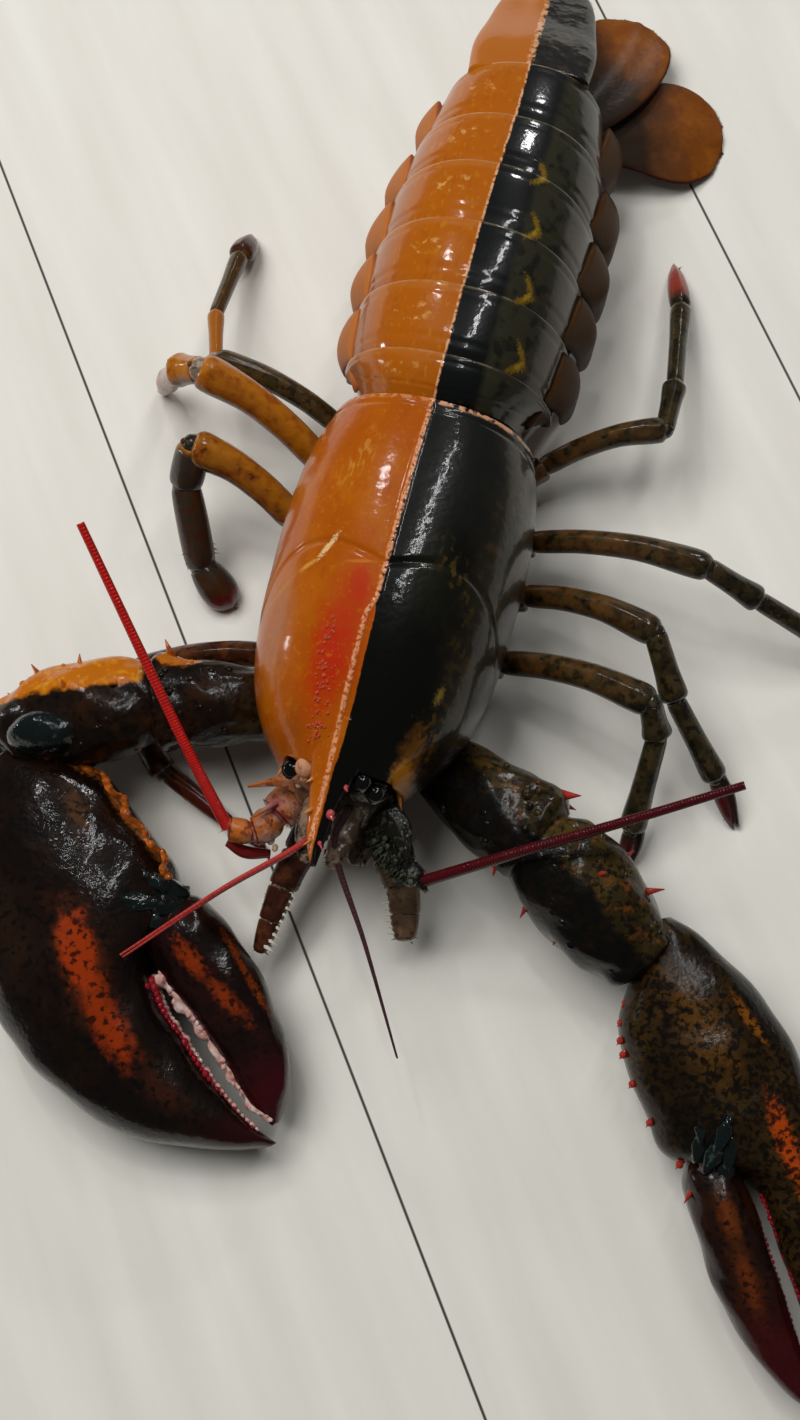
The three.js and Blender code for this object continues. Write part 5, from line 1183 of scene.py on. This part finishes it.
crimson = Glaze("crimson_bump", "8a0e1c", rough=0.2, coat=1.0).finish
pale_tooth = mottled("pale_tooth", "c89c90", ("e0cec6", 3, 4.0, 0.5, 0.62, 0.7),
                     ("9c4048", 1.6, 4.0, 0.52, 0.66, 0.7), relief=(1, 0.3), rough=0.25, coat=1.0)
dark_skin = mottled("joint_web", "0a1413", ("4e6a64", 2.5, 4.0, 0.6, 0.7, 0.3), relief=(1.8, 0.3),
                    rough=0.2, coat=1.0)
ARM_BOSSES = 46
HINGE_SWELLING = [[-60.4, -44.6, 25.4, 1.4, 1.4], [-64, -46, 26, 4.2, 5.4], [-68.6, -47.4, 25.6, 5.4, 6.6],
                  [-73, -48.6, 24, 4.8, 6], [-76.4, -49.6, 21.6, 2, 3]]


def arm_swell(t, turn):
    """Swollen at the far end, drawn in behind it, and uneven all over"""
    far_end = 0.5 * np.exp(-((t - 0.86) / 0.07) ** 2) - 0.6 * np.exp(-((t - 0.7) / 0.06) ** 2)
    return 0.35 * np.sin(9 * t) * np.sin(3 * turn) + far_end + 0.25 * np.sin(23 * t + 2 * np.sin(4 * turn))


for word, merus, carpus, spines, look, slot in [
        ("right", MERUS_RIGHT, CARPUS_RIGHT, SPINES_RIGHT, arm_brown.finish, "shell_brown"),
        ("left", MERUS_LEFT, CARPUS_LEFT, SPINES_LEFT, arm_olive.finish, "shell_olive")]:
    for piece, rows, points in [("merus", merus, spines[:2]), ("carpus", carpus, spines[2:])]:
        form = new_form()
        limb(form, rows, 72, 22, 2.3, swell=arm_swell)
        # Low bosses over the upper side
        at = path_through(rows)
        for i in range(ARM_BOSSES):
            s, turn = draw.uniform(1.2, len(rows) - 1.6), draw.uniform(0.5, math.pi - 0.5)
            x, y, z, wide, high = at(np.array(s))
            ahead = Vector(at(np.array(s + 0.05))[:3]) - Vector((x, y, z))
            across = Vector((ahead.y, -ahead.x, 0)).normalized()
            side_reach, up_reach = bow(np.cos(turn), 2.3) * wide, bow(np.sin(turn), 2.3) * high
            spot = Vector((x, y, z)) + (across * float(side_reach) + Vector((0, 0, float(up_reach)))) * 0.97
            size = draw.uniform(0.4, 1.15)
            knob(form, spot, (size, size, size * 0.6), 0, 2)
        for root, tip, radius in points:
            thorn(form, root, tip, radius, 1, 12)
        end = rows[-1]
        knob(form, end[:3], (end[3] * 0.9, end[3] * 0.9, end[4] * 0.9), 2, 4)
        if piece == "carpus":
            # The glossy dark skin of the hinge beside the palm, longer on the crusher
            if word == "right":
                limb(form, HINGE_SWELLING, 32, 8, coat=2,
                     swell=lambda t, turn: 0.3 * np.sin(11 * t + 2 * np.sin(2 * turn)))
            else:
                knob(form, (54.6, -60.5, 17.5), (4, 4, 6.6), 2, 4)
        spine_look = orange_knob if word == "right" else red_point
        settle(form, f"arm_{word}_{piece}", [look, spine_look, dark_skin], [f"cheliped_{word}_{piece}"], slot)

# Where the gape of both claws starts and how long it is, both along the claw
GAPE_START, GAPE_LENGTH = 60, 40
TEETH = {"right": 30, "left": 34}
CREST_KNOBS = 30
# Places of the red spines along the cutter's palm
SPINE_PLACES = (10.5, 14, 17.5, 20.5, 27, 36, 46.5)
# The folds of skin over each finger's hinge: place along and across the claw, height, half thickness
HINGE_FOLDS = [[(42, 1.6, 25.4, 0.8), (43.6, -0.4, 25, 2), (46, -3.4, 23.4, 2.5), (48.4, -7, 20.6, 2.7),
                (50.6, -10.6, 17.4, 2.4)],
               [(38.6, -6, 23.4, 0.8), (41.6, -7, 22.4, 1.8), (44.6, -8.6, 20.6, 2.4),
                (47.6, -11.6, 17, 2.4)],
               [(44.6, 0.8, 22.6, 1), (48, -1.6, 21.6, 2.4), (51.6, -4.6, 19, 2.8), (54, -8, 16.6, 2.2)]]
crusher = Claw((-72, -50), (3.4, -122), -1)
cutter = Claw((71.8, -59.8), (134, -143), 1)
for word, claw, palm, finger, looks, slot in [
        ("right", crusher, CRUSHER_PALM, CRUSHER_FINGER, (crusher_look, crusher_finger_look), "shell_brown"),
        ("left", cutter, CUTTER_PALM, CUTTER_FINGER, (cutter_look, cutter_finger_look), "shell_olive")]:
    broad = word == "right"
    palm_form, finger_form = new_form(), new_form()
    claw.shell(palm_form, palm, 120, 150)
    claw.shell(finger_form, finger, 96, 100)
    palm_at, finger_at = smooth_rows(palm), smooth_rows(finger)
    # Teeth along the gape: rounded and pale on the crusher, small crimson points on the cutter
    flesh_rows = []
    for i in range(TEETH[word]):
        a = GAPE_START + GAPE_LENGTH * i / (TEETH[word] - 1)
        inside, _, _, z = palm_at(np.array(a))
        _, outside, _, fz = finger_at(np.array(a))
        wave = 0.5 + 0.5 * math.sin(1.9 * i)
        taper = 1 - 0.5 * i / TEETH[word]
        if broad:
            size = (0.9 + 0.3 * wave) * taper * draw.uniform(0.75, 1.2)
            knob(palm_form, claw.spot(a, inside + 0.2, z + 1.5), [size * 1.2] * 3, 2, 3)
            knob(palm_form, claw.spot(a + 0.6, inside + 0.6, z + 4 * taper), (size * 0.9, size * 1.1, size),
                 1, 3)
            if i % 2 == 0:
                small = size * draw.uniform(0.6, 0.9)
                knob(palm_form, claw.spot(a + 1.2, inside + 2.2, z + 5.6 * taper), [small] * 3, 1, 3)
            # The pale swollen flesh and teeth of the finger fill the gape
            flesh_rows.append([*claw.spot(a, outside - 0.6 + 0.5 * math.sin(1.3 * i), fz + 2.4 * taper),
                               (1.8 + 0.5 * math.sin(2.3 * i)) * taper,
                               (1.9 + 0.4 * math.sin(1.7 * i)) * taper])
            jog = draw.uniform(-1.4, 1.4) * taper
            tooth = claw.spot(a, outside - 0.6 + jog, fz + (4.2 - abs(jog)) * taper)
            knob(finger_form, tooth, (size * 0.8, size, size * 0.7), 2, 3)
        else:
            knob(palm_form, claw.spot(a, inside + 0.2, z + 1.2), [(0.55 + 0.3 * wave) * taper] * 3, 1, 2)
            knob(palm_form, claw.spot(a, inside + 1.2, z + 2.6), [(0.45 + 0.2 * wave) * taper] * 3, 1, 2)
            knob(finger_form, claw.spot(a, outside - 0.2, fz + 0.4), [(0.5 + 0.2 * wave) * taper] * 3, 1, 2)
    # The inner edge of the palm: an orange knobbly crest on the crusher, a row of red spines on the cutter
    if broad:
        limb(finger_form, flesh_rows, 20, 4, coat=2)
        crest_rows = []
        for i in range(CREST_KNOBS):
            a = 4.5 + 1.35 * i
            c, z = claw.surface(palm, np.array(a), math.radians(160 + 5 * math.sin(1.1 * i)))
            girth = 1.15 + 0.3 * math.sin(2.6 * i) - 0.5 * (i in (0, CREST_KNOBS - 1))
            crest_rows.append([*claw.spot(a, float(c) + 0.5, float(z) - 0.2), girth, girth])
            if i % 3 < 2:
                size = draw.uniform(0.7, 1.35)
                spot = claw.spot(a + draw.uniform(-0.6, 0.6), float(c) + 0.1, float(z) + 0.3)
                knob(palm_form, spot, (size, size, size * 0.7), 3, 3)
        limb(palm_form, crest_rows, 20, 4, coat=3)
    else:
        for a in SPINE_PLACES:
            inside, _, _, z = palm_at(np.array(a))
            root = claw.spot(a, inside + 1.2, z + 2)
            thorn(palm_form, root, claw.spot(a + 1.4, inside - 1.4, z + 2.6), 1.1, 3, 12)
            knob(palm_form, claw.spot(a + 0.8, inside - 0.2, z + 2.2), (0.9, 0.9, 0.8), 3, 2)
        thorn(finger_form, claw.spot(53, -11.5, 14.5), claw.spot(55, -14.6, 15.4), 1.2, 3, 12)
    # The cutter's folds are smaller and nearer to its middle
    near = 1 if broad else 0.74
    for fold in HINGE_FOLDS:
        rows = []
        for a, c, height, size in fold:
            rows.append([*claw.spot(a, c * near, 14 + (height - 14) * near), size * near, size * near])
        limb(palm_form, rows, 24, 8, coat=4,
             swell=lambda t, turn: 0.25 * np.sin(17 * t + 2 * np.sin(3 * turn)))
    finishes = [crimson, pale_tooth, orange_knob if broad else red_point, dark_skin]
    settle(palm_form, f"claw_{word}_palm", [looks[0], *finishes], [f"cheliped_{word}_claw"], slot)
    settle(finger_form, f"claw_{word}_finger", [looks[1], *finishes], [f"cheliped_{word}_finger"], slot)
